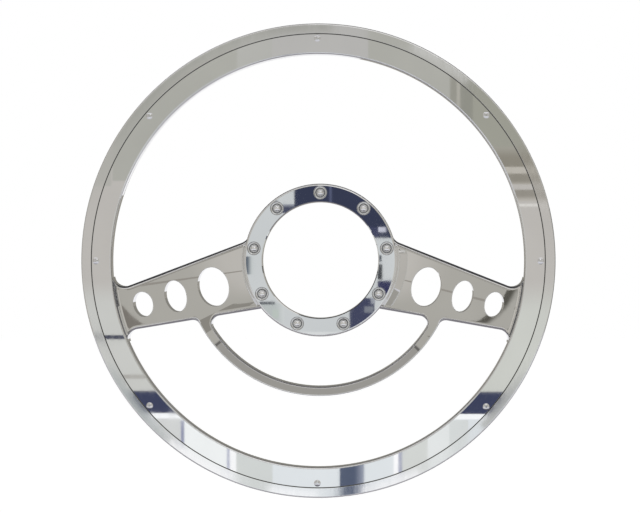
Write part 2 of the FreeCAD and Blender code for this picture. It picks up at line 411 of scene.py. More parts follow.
def turned_profile(skin: Skin, corners: tuple[Spot, ...], side: float, angles: Array,
                   centre: Spot = (0.0, 0.0)) -> None:
    """Adds the surfaces turned from the straight stretches between a profile's corners.

    Args:
        skin: Where the surfaces go.
        corners: The profile's corners (radius, y).
        side: Side of the way on which the outside lies, as for turned_line.
        angles: Angles in radians.
        centre: Plan point that they are turned about.
    """
    for a, b in zip(corners[:-1], corners[1:]):
        turned_line(skin, a, b, side, angles, centre)


def turned_round(skin: Skin, middle: Spot, round_r: float, start: float, end: float, angles: Array,
                 centre: Spot = (0.0, 0.0), steps: int = 8) -> None:
    """Adds the surface turned from a round stretch of a profile: middle + radius * (cos t, sin t).

    Args:
        skin: Where the surface goes.
        middle: Centre of the round (radius, y).
        round_r: Radius of the round.
        start: First angle of the round in degrees, 0 outwards and 90 towards +Y.
        end: Last angle in degrees.
        angles: Angles in radians round the axle.
        centre: Plan point that it is turned about.
        steps: Number of strips.
    """
    normal = unit(np.radians(np.linspace(start, end, steps + 1)))
    radius = middle[0] + round_r * normal[:, 0]
    turned(skin, radius, middle[1] + round_r * normal[:, 1], normal, angles, centre)


def full_turn(count: int) -> Array:
    """Evenly spaced angles of a full turn, first and last at the same place."""
    return np.linspace(0.0, 2 * math.pi, count + 1)


def stations(radius: float, count: int) -> Array:
    """Plan points of equal stations on a circle, the first at the top and the rest clockwise."""
    return radius * unit(math.pi / 2 - 2 * math.pi * np.arange(count) / count)


def rim_screw_places() -> Array:
    """Plan points of the rim screws, clockwise from the top: on both axes, and one in each quarter.

    Returns:
        The eight points, (8, 2).
    """
    turn = SIZES.rim_screw_turn
    degrees = np.array([0, turn, 90, 180 - turn, 180, 180 + turn, 270, 360 - turn])
    return SIZES.rim_screw_circle_r * unit(np.radians(90 - degrees))


@dataclass(frozen=True)
class Straight:
    """Straight stretch of an opening's outline.

    Attributes:
        a: First plan point.
        b: Last plan point.
        out: Unit normal that points into the opening.
        round_a: Radius of the edge's round at a.
        round_b: Radius of the edge's round at b.
    """

    a: Array
    b: Array
    out: Array
    round_a: float
    round_b: float

    def at(self, t: Array) -> Array:
        """Plan points at shares t of the way from a to b."""
        return self.a + t[:, None] * (self.b - self.a)

    def length(self) -> float:
        """Length of the stretch."""
        return float(np.linalg.norm(self.b - self.a))

    def nearest(self, p: Array) -> tuple[Array, Array, Array]:
        """Distance of plan points from the stretch, the normal at the nearest point and its round.

        Args:
            p: Plan points, (n, 2).

        Returns:
            The distances, the normals into the opening and the radii of the edge's round.
        """
        way = self.b - self.a
        t = np.clip((p - self.a) @ way / (way @ way), 0.0, 1.0)
        gap = np.linalg.norm(p - self.at(t), axis=1)
        return gap, np.tile(self.out, (len(p), 1)), self.round_a + t * (self.round_b - self.round_a)


@dataclass(frozen=True)
class Curved:
    """Round stretch of an opening's outline, with the same round along its edge or one that runs to another.

    Attributes:
        centre: Plan point that the arc is struck from.
        radius: Radius of the arc.
        start: First angle in radians.
        sweep: Angle from the first point to the last, in radians.
        inwards: 1 if the opening lies on the centre's side, and -1 if on the far side.
        round_a: Radius of the edge's round at the first point.
        round_b: Radius of the edge's round at the last point.
    """

    centre: Array
    radius: float
    start: float
    sweep: float
    inwards: int
    round_a: float
    round_b: float

    def at(self, t: Array) -> Array:
        """Plan points at shares t of the way along the arc."""
        return self.centre + self.radius * unit(self.start + t * self.sweep)

    def length(self) -> float:
        """Length of the arc."""
        return self.radius * abs(self.sweep)

    def nearest(self, p: Array) -> tuple[Array, Array, Array]:
        """Distance of plan points from the arc, the normal at the nearest point and its round.

        Args:
            p: Plan points, (n, 2).

        Returns:
            The distances, the normals into the opening and the radii of the edge's round.
        """
        away = p - self.centre
        middle = self.start + self.sweep / 2
        turn = np.arctan2(away[:, 1], away[:, 0]) - middle
        turn = (turn + math.pi) % (2 * math.pi) - math.pi
        t = np.clip(0.5 + turn / self.sweep, 0.0, 1.0)
        gap = np.linalg.norm(p - self.at(t), axis=1)
        out = -self.inwards * unit(self.start + t * self.sweep)
        return gap, out, self.round_a + t * (self.round_b - self.round_a)


@dataclass(frozen=True)
class Oval:
    """Outline of an oval hole: centre + half_along * along * cos t + half_across * across * sin t."""

    centre: Array
    along: Array
    half_along: float
    half_across: float
    edge_round: float

    def at(self, t: Array) -> Array:
        """Plan points of the outline.

        Args:
            t: Shares of the way round.

        Returns:
            The points, (n, 2).
        """
        turn = 2 * math.pi * t[:, None]
        side = across(self.along)
        return (self.centre + self.half_along * np.cos(turn) * self.along
                + self.half_across * np.sin(turn) * side)

    def length(self) -> float:
        """Length of the outline, by the mean of its half sizes."""
        return math.pi * (self.half_along + self.half_across)

    def nearest(self, p: Array) -> tuple[Array, Array, Array]:
        """Distance of plan points from the oval, the normal into it at the nearest point and its round.

        The nearest point is where the line to it stands square on the outline, found by Newton's steps.

        Args:
            p: Plan points, (n, 2).

        Returns:
            The distances, the normals into the opening and the radii of the edge's round.
        """
        a, b = self.half_along, self.half_across
        x, z = (p - self.centre) @ self.along, (p - self.centre) @ across(self.along)
        t = np.arctan2(a * z, b * x)
        steps, least = 8, 1e-6
        for _ in range(steps):
            c, s = np.cos(t), np.sin(t)
            slope = (b * b - a * a) * c * s + a * x * s - b * z * c
            change = (b * b - a * a) * (c * c - s * s) + a * x * c + b * z * s
            t = t - slope / np.maximum(change, least)
        c, s = np.cos(t), np.sin(t)
        gap = np.hypot(x - a * c, z - b * s)
        out = -np.stack([b * c, a * s], axis=1)
        out /= np.linalg.norm(out, axis=1, keepdims=True)
        out = out[:, :1] * self.along + out[:, 1:] * across(self.along)
        return gap, out, np.full(len(p), self.edge_round)


Run = Union[Straight, Curved, Oval]


@dataclass(frozen=True)
class Window:
    """Opening through the wheel between two circles and the edges of both spokes.

    The right spoke's edge runs outwards and down at the slope, at the offset from the axle. Its corners are
    rounds that touch both the edge and a circle. The left half is the right one's mirror image.

    Attributes:
        inner_r: Radius of the inner circle.
        outer_r: Radius of the outer circle.
        slope: Slope of the spoke's edge, in degrees.
        offset: Distance of the spoke's edge from the axle.
        inner_corner_r: Radius of the corners at the inner circle.
        outer_corner_r: Radius of the corners at the outer circle.
        side: 1 for an opening above the spokes and -1 for one below them.
        inner_round: Round of the inner circle's edge, or None where the hub stands there.
        outer_round: Round of the outer circle's edge, or None where the rim stands there.
    """

    inner_r: float
    outer_r: float
    slope: float
    offset: float
    inner_corner_r: float
    outer_corner_r: float
    side: int
    inner_round: Optional[float] = None
    outer_round: Optional[float] = None

    def corner(self, corner_r: float, centre_r: float) -> tuple[Array, Array, Array]:
        """Round of a corner on the right side.

        Args:
            corner_r: Radius of the round.
            centre_r: Distance of its centre from the axle.

        Returns:
            Its centre, the way from there to the circle and the way to the spoke's edge.
        """
        slope = math.radians(self.slope)
        along = np.array([math.cos(slope), -math.sin(slope)])
        square = self.side * np.array([math.sin(slope), math.cos(slope)])
        over = self.offset + corner_r
        centre = along * math.sqrt(centre_r ** 2 - over ** 2) + square * over
        return centre, centre / np.linalg.norm(centre), -square

    def touch_angles(self) -> tuple[float, float]:
        """Angles of the points where the right corners touch the circles.

        Returns:
            The angle at the inner circle and at the outer one, in radians.
        """
        inner = self.corner(self.inner_corner_r, self.inner_r + self.inner_corner_r)[0]
        outer = self.corner(self.outer_corner_r, self.outer_r - self.outer_corner_r)[0]
        return math.atan2(inner[1], inner[0]), math.atan2(outer[1], outer[0])

    def stretches(self) -> list[Run]:
        """Stretches of the outline that bound the spokes and the half ring.

        Returns:
            The right side's stretches and then the left side's.
        """
        full = SIZES.spoke_edge_round
        found = []
        ends = []
        for circle_r, corner_r, out, rounded in (
                (self.inner_r, self.inner_corner_r, 1, self.inner_round),
                (self.outer_r, self.outer_corner_r, -1, self.outer_round)):
            centre, way, to_edge = self.corner(corner_r, circle_r + out * corner_r)
            start = math.atan2(-out * way[1], -out * way[0])
            sweep = (math.atan2(to_edge[1], to_edge[0]) - start + math.pi) % (2 * math.pi) - math.pi
            at_circle = full if rounded is None else rounded
            found.append(Curved(centre, corner_r, start, sweep, 1, at_circle, full))
            ends.append(centre + corner_r * to_edge)
            if rounded is not None:
                touch = math.atan2(centre[1], centre[0])
                rest = self.side * math.pi / 2 - touch
                found.append(Curved(np.zeros(2), circle_r, touch, rest, -out, rounded, rounded))
        found.insert(1, Straight(ends[0], ends[1], -to_edge, full, full))
        mirror = np.array([-1.0, 1.0])
        for run in list(found):
            if isinstance(run, Straight):
                found.append(Straight(run.a * mirror, run.b * mirror, run.out * mirror, full, full))
            else:
                found.append(Curved(run.centre * mirror, run.radius, math.pi - run.start, -run.sweep,
                                    run.inwards, run.round_a, run.round_b))
        return found


def rounded_edge(gap: Array, edge_round: Array, rise_out: Array, rise_along: Array) -> tuple[Array, ...]:
    """Round between a sloping face and an upright wall, as a ball rolled along the edge leaves it.

    With the ball's radius R, the face's rise a towards the wall and b along it, and the angle t whose cosine
    is 1 - gap / R, the face lies lower by a (R - gap) - R sin t sqrt(1 + b^2) + R sqrt(1 + a^2 + b^2). The
    round ends where its slope equals the face's.

    Args:
        gap: Distance of each point from the wall.
        edge_round: Radius of the round.
        rise_out: Rise of the face towards the wall.
        rise_along: Rise of the face along the wall.

    Returns:
        How far the surface lies below the face, and its normal's parts out of the wall, along it and up.
    """
    lean = np.sqrt(1 + rise_along ** 2)
    steep = np.sqrt(1 + rise_out ** 2 + rise_along ** 2)
    end = round_width(edge_round, rise_out, rise_along)
    cosine = 1 - np.minimum(gap, end) / edge_round
    sine = np.sqrt(np.clip(1 - cosine ** 2, 0.0, 1.0))
    inside = gap < end
    drop = rise_out * (edge_round - gap) - edge_round * sine * lean + edge_round * steep
    drop = np.where(inside, drop, 0.0)
    out = np.where(inside, cosine, -rise_out / steep)
    along = np.where(inside, -sine * rise_along / lean, -rise_along / steep)
    up = np.where(inside, sine / lean, 1 / steep)
    return drop, out, along, up


def round_width(edge_round: Array, rise_out: Array, rise_along: Array) -> Array:
    """Width in plan of the round that rounded_edge makes."""
    end_angle = np.arctan2(np.sqrt(1 + rise_along ** 2), -rise_out)
    return edge_round * (1 - np.cos(end_angle))


class SpokeForm:
    """Plan and faces of the two spokes and the half ring, which are cut from one cone."""

    UPPER = (22.0, 36.3)
    LOWER = (8.3, 31.6)
    HOLE_LINE = 14.0
    HOLES = ((86.0, 15.5, 11.2), (114.0, 12.3, 7.6), (137.4, 9.6, 6.7))
    UPPER_CORNERS = (9.0, 8.0)
    INNER_CORNERS = (1.5, 6.0)
    LOWER_CORNERS = (6.0, 6.5)
    HOLE_ROUND = 0.3
    BACK_ROUND = 0.8
    BLEND_R = 10.0
    BLEND_ROWS = 9
    BLEND_TURN = 0.45
    CREASE_HALF = 1.0
    CREASE_REACH = 1.2
    CREASE_ROWS = 5
    CLEAR = 0.12
    EDGE_SPACING = 1.0
    EDGE_ROWS = 8
    LAST_ROW = 0.7
    OPEN_SPACING = 2.4
    ROW_SHARE = 0.866

    def __init__(self) -> None:
        """Works out the openings, the oval holes and the blend between spoke and rim."""
        s = SIZES
        full = s.spoke_edge_round
        self.upper = Window(s.hub_r, s.wall_r, *self.UPPER, *self.UPPER_CORNERS, 1)
        self.inner = Window(s.hub_r, s.half_ring_r, *self.LOWER, *self.INNER_CORNERS, -1, outer_round=full)
        self.lower = Window(s.half_ring_out_r, s.wall_r, *self.LOWER, *self.LOWER_CORNERS, -1,
                            inner_round=s.half_ring_edge_round)
        self.runs = [run for w in (self.upper, self.inner, self.lower) for run in w.stretches()]
        line = math.radians(self.HOLE_LINE)
        self.ovals = []
        for side in (1, -1):
            along = np.array([side * math.cos(line), -math.sin(line)])
            for away, half_across, half_along in self.HOLES:
                self.ovals.append(Oval(along * away, along, half_along, half_across, self.HOLE_ROUND))
        self.back_t = s.spoke_t * math.sqrt(1 + s.cone_slope ** 2)
        self.crease_r = s.hub_r + (self.back_t + s.cone_hub_y) / s.cone_slope
        self.blend_middle = self._blend_middle()
        self.blend_start = self.blend_middle[0] + self.BLEND_R * s.cone_slope / math.hypot(1, s.cone_slope)

    def _blend_middle(self) -> tuple[float, float]:
        """Centre of the hollow blend between spoke and rim.

        The blend's circle touches the cone and passes the rim's inner edge, step high above the cone's end.
        With x its centre's distance past the rim and k its rise above the cone, x solves
        (1 + m^2) x^2 - 2 m (step - k) x + (step - k)^2 - R^2 = 0.

        Returns:
            The centre's radius and its height above the cone's end.
        """
        s = SIZES
        m, r = s.cone_slope, self.BLEND_R
        step = s.rim_step - s.plate_edge_round
        k = r * math.hypot(1, m)
        a, b, c = 1 + m * m, -2 * m * (step - k), (step - k) ** 2 - r * r
        x = (-b - math.sqrt(b * b - 4 * a * c)) / (2 * a)
        return s.wall_r + x, m * x + k

    def front_base(self, r: Array) -> tuple[Array, Array]:
        """The front before its edges are rounded: a cone, with a hollow blend up to the rim.

        Args:
            r: Distances from the axle.

        Returns:
            y of the front, and its rise towards the driver for each millimetre outwards.
        """
        s = SIZES
        nearly = 0.999
        past = np.clip(r - self.blend_middle[0], 0.0, self.BLEND_R * nearly)
        deep = np.sqrt(self.BLEND_R ** 2 - past ** 2)
        in_blend = r > self.blend_start
        cone = s.cone_hub_y - s.cone_slope * (r - s.hub_r)
        hollow = s.cone_rim_y - self.blend_middle[1] + deep
        return np.where(in_blend, hollow, cone), np.where(in_blend, past / deep, s.cone_slope)

    def back_base(self, r: Array) -> tuple[Array, Array]:
        """The back before its edges are rounded: flat with the hub, then the cone, with a soft bend.

        Args:
            r: Distances from the axle.

        Returns:
            y of the back, and its rise towards +Y for each millimetre outwards.
        """
        w = self.CREASE_HALF
        past = np.clip((r - self.crease_r + w) / (2 * w), 0.0, None)
        bend = np.where(past < 1, past ** 2 * w, r - self.crease_r)
        return -SIZES.cone_slope * bend, -SIZES.cone_slope * np.minimum(past, 1.0)

    def nearest_edge(self, p: Array) -> tuple[Array, Array, Array]:
        """Distance of plan points from the nearest edge, its normal out of the metal and its round.

        Args:
            p: Plan points, (n, 2).

        Returns:
            The distances, the normals and the radii of the rounds.
        """
        best = np.full(len(p), np.inf)
        out = np.zeros((len(p), 2))
        rounds = np.zeros(len(p))
        for edge in self.runs + self.ovals:
            gap, normal, edge_round = edge.nearest(p)
            closer = gap < best
            best = np.where(closer, gap, best)
            out = np.where(closer[:, None], normal, out)
            rounds = np.where(closer, edge_round, rounds)
        return best, out, rounds

    @staticmethod
    def rises(p: Array, out: Array, rise: Array) -> tuple[Array, Array]:
        """Splits a face's rise away from the axle at plan points.

        Args:
            p: Plan points, (n, 2).
            out: Normals of the nearest wall.
            rise: The face's rise for each millimetre outwards.

        Returns:
            Its parts towards the wall and along it.
        """
        ray = p / np.linalg.norm(p, axis=1)[:, None]
        return rise * (ray * out).sum(axis=1), rise * (ray * across(out)).sum(axis=1)

    def face(self, p: Array, side: Face) -> tuple[Array, Array]:
        """Points and normals of the front or back face over plan points.

        Args:
            p: Plan points, (n, 2).
            side: The face that is meant.

        Returns:
            Points in space and unit normals, (n, 3) each.
        """
        r = np.linalg.norm(p, axis=1)
        y, rise = self.front_base(r) if side is Face.FRONT else self.back_base(r)
        gap, out, edge_round = self.nearest_edge(p)
        if side is Face.BACK:
            edge_round = np.minimum(edge_round, self.BACK_ROUND)
        drop, n_out, n_along, n_up = rounded_edge(gap, edge_round, *self.rises(p, out, rise))
        plan = n_out[:, None] * out + n_along[:, None] * across(out)
        return in_space(p, y - side.value * drop), in_space(plan, side.value * n_up)

    def edge_width(self, p: Array, out: Array, rounds: Array) -> Array:
        """Width in plan of the front's round beside plan points.

        Args:
            p: Plan points, (n, 2).
            out: Normals of the nearest wall.
            rounds: Radii of the round.

        Returns:
            The widths.
        """
        rise = self.front_base(np.linalg.norm(p, axis=1))[1]
        return round_width(rounds, *self.rises(p, out, rise))

    def ring_points(self) -> Array:
        """Plan points in rows beside every edge, close together where its round bends most.

        Returns:
            Plan points, (n, 2).
        """
        spacing, rows = self.EDGE_SPACING, self.EDGE_ROWS
        found = []
        for edge in self.runs + self.ovals:
            count = max(4, math.ceil(edge.length() / spacing))
            foot = edge.at(np.linspace(0.0, 1.0, count + 1))
            _, out, rounds = edge.nearest(foot)
            width = self.edge_width(foot, out, rounds)
            end = np.arccos(1 - width / rounds)
            distances = [rounds * (1 - np.cos(end * k / rows)) for k in range(1, rows + 1)]
            for away in distances + [width + spacing * self.LAST_ROW]:
                found.append(self._kept(foot - out * away[:, None], away))
        return np.concatenate(found)

    def _kept(self, p: Array, away: Array) -> Array:
        """Leaves out plan points that lie outside the metal or nearer to another edge.

        Args:
            p: Plan points, (n, 2).
            away: Distance of each from its own edge.

        Returns:
            The points that stay.
        """
        r, slack = np.linalg.norm(p, axis=1), 0.02
        metal = (r > SIZES.hub_r + self.CLEAR) & (r < SIZES.wall_r - self.CLEAR)
        return p[metal & (self.nearest_edge(p)[0] > away - slack)]

    def open_points(self, outline: Array) -> Array:
        """Plan points spread over the faces away from the edges, and rows of them in the blend.

        Args:
            outline: End points of the plan's edges, (m, 2, 2).

        Returns:
            Plan points, (n, 2).
        """
        s, spacing = SIZES, self.OPEN_SPACING
        half = s.wall_r
        x, z = np.meshgrid(np.arange(-half, half, spacing), np.arange(-half, half, spacing * self.ROW_SHARE))
        x = x + np.where(np.arange(x.shape[0]) % 2, spacing / 2, 0.0)[:, None]
        spread = np.stack([x.ravel(), z.ravel()], axis=1)
        rows = np.linspace(self.blend_start - 0.4, s.wall_r - 0.3, self.BLEND_ROWS)
        turn = np.radians(np.arange(-180.0, 180.0, self.BLEND_TURN))
        blend = (rows[:, None, None] * unit(turn)[None]).reshape(-1, 2)
        crease = np.linspace(-self.CREASE_REACH, self.CREASE_REACH, self.CREASE_ROWS) + self.crease_r
        bend = (crease[:, None, None] * unit(turn[::2])[None]).reshape(-1, 2)
        r = np.linalg.norm(spread, axis=1)
        spread = spread[(r > s.hub_r + spacing / 2) & (r < self.blend_start - spacing / 2)
                        & (abs(r - self.crease_r) > spacing)]
        points = np.concatenate([spread, blend, bend])
        points = points[inside_edges(points, outline)]
        return points[self._clear(points)]

    def _clear(self, p: Array) -> Array:
        """Whether plan points in the metal are clear of every edge's round.

        Args:
            p: Plan points, (n, 2).

        Returns:
            One truth value for each point.
        """
        gap, out, rounds = self.nearest_edge(p)
        return gap > self.edge_width(p, out, rounds) + self.EDGE_SPACING


@dataclass
class CircleSplit:
    """Angles round a circle where spokes and openings take turns.

    Attributes:
        angles: All angles in radians, in order, the last one a full turn after the first.
        is_spoke: For each step from one angle to the next, whether a spoke stands there.
    """

    angles: Array
    is_spoke: Array

    @classmethod
    def between(cls, upper: float, lower: float, count: int) -> "CircleSplit":
        """Splits a circle at the points where the openings' corners touch it.

        Args:
            upper: Angle of the right spoke's upper touching point.
            lower: Angle of the right spoke's lower touching point.
            count: Rough number of steps in all.

        Returns:
            The angles and which steps lie in a spoke.
        """
        turns = [lower, upper, math.pi - upper, math.pi - lower, lower + 2 * math.pi]
        angles, spoke = [], []
        for k, (a, b) in enumerate(zip(turns[:-1], turns[1:])):
            steps = max(2, round(count * (b - a) / (2 * math.pi)))
            angles.append(np.linspace(a, b, steps + 1)[:-1])
            spoke.append(np.full(steps, k % 2 == 0))
        return cls(np.append(np.concatenate(angles), turns[-1]), np.concatenate(spoke))


class WheelBody:
    """Hub, spokes, half ring and rim plate, one machined piece."""

    HUB_STEPS = 360
    RIM_STEPS = 720
    HOLE_STEPS = 40

    def __init__(self) -> None:
        """Works out the plan that the patches share."""
        self.form = SpokeForm()
        upper_hub, upper_rim = self.form.upper.touch_angles()
        self.hub = CircleSplit.between(upper_hub, self.form.inner.touch_angles()[0], self.HUB_STEPS)
        self.rim = CircleSplit.between(upper_rim, self.form.lower.touch_angles()[1], self.RIM_STEPS)
        self.skin = Skin()

    def build(self) -> bpy.types.Object:
        """Makes all patches and welds them into one closed mesh.

        Returns:
            The finished piece.
        """
        self.spoke_faces()
        self.spoke_walls()
        self.hub_patches()
        self.plate_patches()
        return self.skin.to_object("polished_wheel_body")

    def spoke_faces(self) -> None:
        """Front and back of the spokes and the half ring, over one plan."""
        form = self.form
        rows = [(run.at(self.steps_of(run)), False) for run in form.runs]
        rows += [(oval.at(self.steps_of(oval))[:-1], True) for oval in form.ovals]
        rows += [(radius * unit(self.spoke_angles(circle, left)), False)
                 for circle, radius in ((self.hub, SIZES.hub_r), (self.rim, SIZES.wall_r))
                 for left in (False, True)]
        outline, edges = join_rows(rows)
        everything = np.concatenate([outline, form.ring_points(), form.open_points(outline[edges])])
        _, first, where = np.unique(np.round(everything, 5), axis=0, return_index=True, return_inverse=True)
        edges = where.reshape(-1)[edges]
        plan, triangles = fill_plan(everything[first], edges[edges[:, 0] != edges[:, 1]])
        LOG.info("spoke plan: %d points, %d triangles", len(plan), len(triangles))
        for side in Face:
            self.skin.add(*form.face(plan, side), triangles)

    @staticmethod
    def spoke_angles(circle: CircleSplit, left: bool) -> Array:
        """Angles of one circle where a spoke meets it.

        Args:
            circle: The circle's steps.
            left: Whether the left spoke is meant, and not the right one.

        Returns:
            Angles in radians.
        """
        turns = np.flatnonzero(np.diff(circle.is_spoke.astype(int)))
        first = circle.angles[:turns[0] + 2]
        return math.pi - first if left else first

    @staticmethod
    def steps_of(run: Run) -> Array:
        """Shares of the way along a stretch, about a millimetre apart."""
        return np.linspace(0.0, 1.0, max(4, math.ceil(run.length())) + 1)

    def height(self, level: Union[float, Face], p: Array) -> Array:
        """Heights of a wall's level over plan points.

        Args:
            level: A fixed height, or a face of the spokes.
            p: Plan points, (n, 2).

        Returns:
            The height over each point.
        """
        if isinstance(level, Face):
            return self.form.face(p, level)[0][:, 1]
        return np.full(len(p), level)

    def middle_share(self) -> float:
        """Share of the way from front to back at which the plate's back meets the spokes' walls.

        Returns:
            The share, 0 at the front.
        """
        touch = SIZES.wall_r * unit(np.array([self.form.upper.touch_angles()[1]]))
        front, back = (self.height(side, touch)[0] for side in Face)
        return (SIZES.plate_back_y - front) / (back - front)

    def spoke_walls(self) -> None:
        """Walls of the openings and of the oval holes, parallel to the axle."""
        share = self.middle_share()
        for run in self.form.runs + self.form.ovals:
            p = run.at(self.steps_of(run))
            front, back = (self.form.face(p, side)[0] for side in Face)
            levels = [front, front + (back - front) * share, back]
            if isinstance(run, Oval):
                levels = [front, back]
            normals = np.broadcast_to(in_space(run.nearest(p)[1], 0.0), (len(levels),) + front.shape)
            self.skin.add_grid(np.stack(levels), normals)

    def ring_wall(self, circle: CircleSplit, radius: float, levels: tuple[Union[float, Face], ...],
                  out: float, spokes: bool) -> None:
        """Part of an upright wall on a circle, in the spokes or in the openings.

        Args:
            circle: The circle's steps.
            radius: Its radius.
            levels: The wall's heights, each a fixed one or a face of the spokes.
            out: 1 if the wall faces outwards and -1 if it faces the axle.
            spokes: Whether it stands in the spokes' steps or in the others.
        """
        steps = np.flatnonzero(circle.is_spoke == spokes)
        for block in np.split(steps, np.flatnonzero(np.diff(steps) > 1) + 1):
            way = unit(circle.angles[block[0]:block[-1] + 2])
            heights = np.stack([self.height(level, radius * way) for level in levels])
            plan = np.broadcast_to(radius * way, heights.shape + (2,))
            normals = np.broadcast_to(in_space(out * way, 0.0), heights.shape + (3,))
            self.skin.add_grid(in_space(plan, heights), normals)

    def hub_patches(self) -> None:
        """Hub ring: flat face with countersinks, rounds, side, bore and back."""
        s, skin, angles = SIZES, self.skin, self.hub.angles
        flat_r, mouth_r = s.hub_r - s.hub_edge_round, s.bore_r + s.bore_chamfer
        side_y, chamfer_y = s.hub_face_y + s.hub_edge_round, s.hub_face_y + s.bore_chamfer
        turned_round(skin, (flat_r, side_y), s.hub_edge_round, -90, 0, angles)
        turned_line(skin, (s.bore_r, chamfer_y), (mouth_r, s.hub_face_y), -1, angles)
        turned_line(skin, (s.bore_r, 0.0), (s.bore_r, chamfer_y), -1, angles, steps=2)
        front, back = (self.height(side, s.hub_r * unit(angles[:1]))[0] for side in Face)
        middle = front + (back - front) * self.middle_share()
        self.ring_wall(self.hub, s.hub_r, (side_y, front, middle, back, 0.0), 1, False)
        self.ring_wall(self.hub, s.hub_r, (side_y, Face.FRONT), 1, True)
        self.ring_wall(self.hub, s.hub_r, (Face.BACK, 0.0), 1, True)
        hole = full_turn(self.HOLE_STEPS)
        seats = stations(s.stud_circle_r, s.stud_count)
        add_flat_ring(skin, angles, (mouth_r, flat_r), s.hub_face_y, Face.FRONT, seats, s.stud_mouth_r, hole)
        add_flat_ring(skin, angles, (s.bore_r, s.hub_r), 0.0, Face.BACK, seats, s.stud_hole_r, hole)
        seat_y = s.hub_face_y + s.stud_seat_depth
        foot = (s.stud_seat_r, seat_y)
        for seat in seats:
            turned_line(skin, (s.stud_mouth_r, s.hub_face_y), foot, 1, hole, tuple(seat), 3)
            turned_profile(skin, (foot, (s.stud_hole_r, seat_y), (s.stud_hole_r, 0.0)), 1, hole, tuple(seat))

    def plate_patches(self) -> None:
        """Rim plate: flat face with countersinks, inner round and wall, seam and back."""
        s, skin, angles = SIZES, self.skin, self.rim.angles
        rounded, chamfer, face_y, back_y = s.plate_edge_round, s.seam_chamfer, s.rim_face_y, s.plate_back_y
        side_y = face_y + rounded
        turned_round(skin, (s.wall_r + rounded, side_y), rounded, -180, -90, angles)
        front = self.height(Face.FRONT, s.wall_r * unit(angles[:1]))[0]
        self.ring_wall(self.rim, s.wall_r, (side_y, front, back_y), -1, False)
        self.ring_wall(self.rim, s.wall_r, (side_y, Face.FRONT), -1, True)
        self.ring_wall(self.rim, s.wall_r, (back_y, Face.BACK), 1, True)
        seam = ((s.seam_r - chamfer, face_y), (s.seam_r, face_y + chamfer), (s.seam_r, back_y))
        turned_profile(skin, seam, -1, angles)
        hole, head_r, hole_r = full_turn(self.HOLE_STEPS), s.rim_screw_head_r, s.rim_screw_hole_r
        seats = rim_screw_places()
        add_flat_ring(skin, angles, (s.wall_r + rounded, s.seam_r - chamfer), face_y, Face.FRONT, seats,
                      head_r, hole)
        add_flat_ring(skin, angles, (s.wall_r, s.seam_r), back_y, Face.BACK, seats, hole_r, hole)
        sink = ((head_r, face_y), (hole_r, face_y + head_r - hole_r), (hole_r, back_y))
        for seat in seats:
            turned_profile(skin, sink, 1, hole, tuple(seat))


def add_flat_ring(skin: Skin, angles: Array, radii: Spot, y: float, face: Face, seats: Array,
                  hole_r: float, hole: Array) -> None:
    """Adds a flat ring with round holes.

    Args:
        skin: Where the ring goes.
        angles: Angles of its circles, the last equal to the first plus a full turn.
        radii: Radius of its opening and its outer radius.
        y: Its place along the axle.
        face: The side that it looks to.
        seats: Plan points of the holes.
        hole_r: Their radius.
        hole: Angles of the holes' circles, also a full turn.
    """
    rows = [(radius * unit(angles[:-1]), True) for radius in radii]
    rows += [(seat + hole_r * unit(hole[:-1]), True) for seat in seats]
    plan, triangles = fill_plan(*join_rows(rows))
    normals = np.tile([0.0, face.value, 0.0], (len(plan), 1))
    skin.add(in_space(plan, np.full(len(plan), y)), normals, triangles)


class GripRing:
    """Outer ring of the rim: a flat band in front and a round back that the hands close on."""

    STEPS = 720
    HOLE_STEPS = 24
    BACK_STRIPS = 40
    HOLE_ROOM = 1.0

    def build(self) -> bpy.types.Object:
        """Makes the turned surface, with the eight blind holes in its step.

        Returns:
            The finished piece.
        """
        s, skin = SIZES, Skin()
        angles = full_turn(self.STEPS)
        step_r, inner_r = s.seam_r + s.seam_gap, s.wall_r + s.grip_inset
        outer_r, edge, chamfer, face_y = s.wheel_r, s.grip_edge_round, s.seam_chamfer, s.rim_face_y
        back_start_y = s.plate_back_y + s.grip_side
        back_y = face_y + s.grip_depth
        band = ((step_r, s.plate_back_y), (step_r, face_y + chamfer), (step_r + chamfer, face_y),
                (outer_r - edge, face_y))
        turned_profile(skin, band, -1, angles)
        turned_round(skin, (outer_r - edge, face_y + edge), edge, -90, 0, angles)
        turned_line(skin, (outer_r, face_y + edge), (outer_r, back_start_y), -1, angles)
        half = (outer_r - inner_r) / 2
        rise = back_y - back_start_y
        back_r = (half ** 2 + rise ** 2) / (2 * rise)
        middle = ((outer_r + inner_r) / 2, back_y - back_r)
        reach = math.degrees(math.asin(half / back_r)) if rise <= half else 90.0
        turned_round(skin, middle, back_r, 90 - reach, 90 + reach, angles, steps=self.BACK_STRIPS)
        turned_line(skin, (inner_r, back_start_y), (inner_r, s.plate_back_y), -1, angles)
        hole = full_turn(self.HOLE_STEPS)
        seats = rim_screw_places()
        add_flat_ring(skin, angles, (inner_r, step_r), s.plate_back_y, Face.FRONT, seats, s.thread_hole_r,
                      hole)
        end_y = face_y + s.rim_screw_length + self.HOLE_ROOM
        blind = ((s.thread_hole_r, s.plate_back_y), (s.thread_hole_r, end_y), (0.0, end_y))
        for seat in seats:
            turned_profile(skin, blind, 1, hole, tuple(seat))
        return skin.to_object("polished_grip_ring")


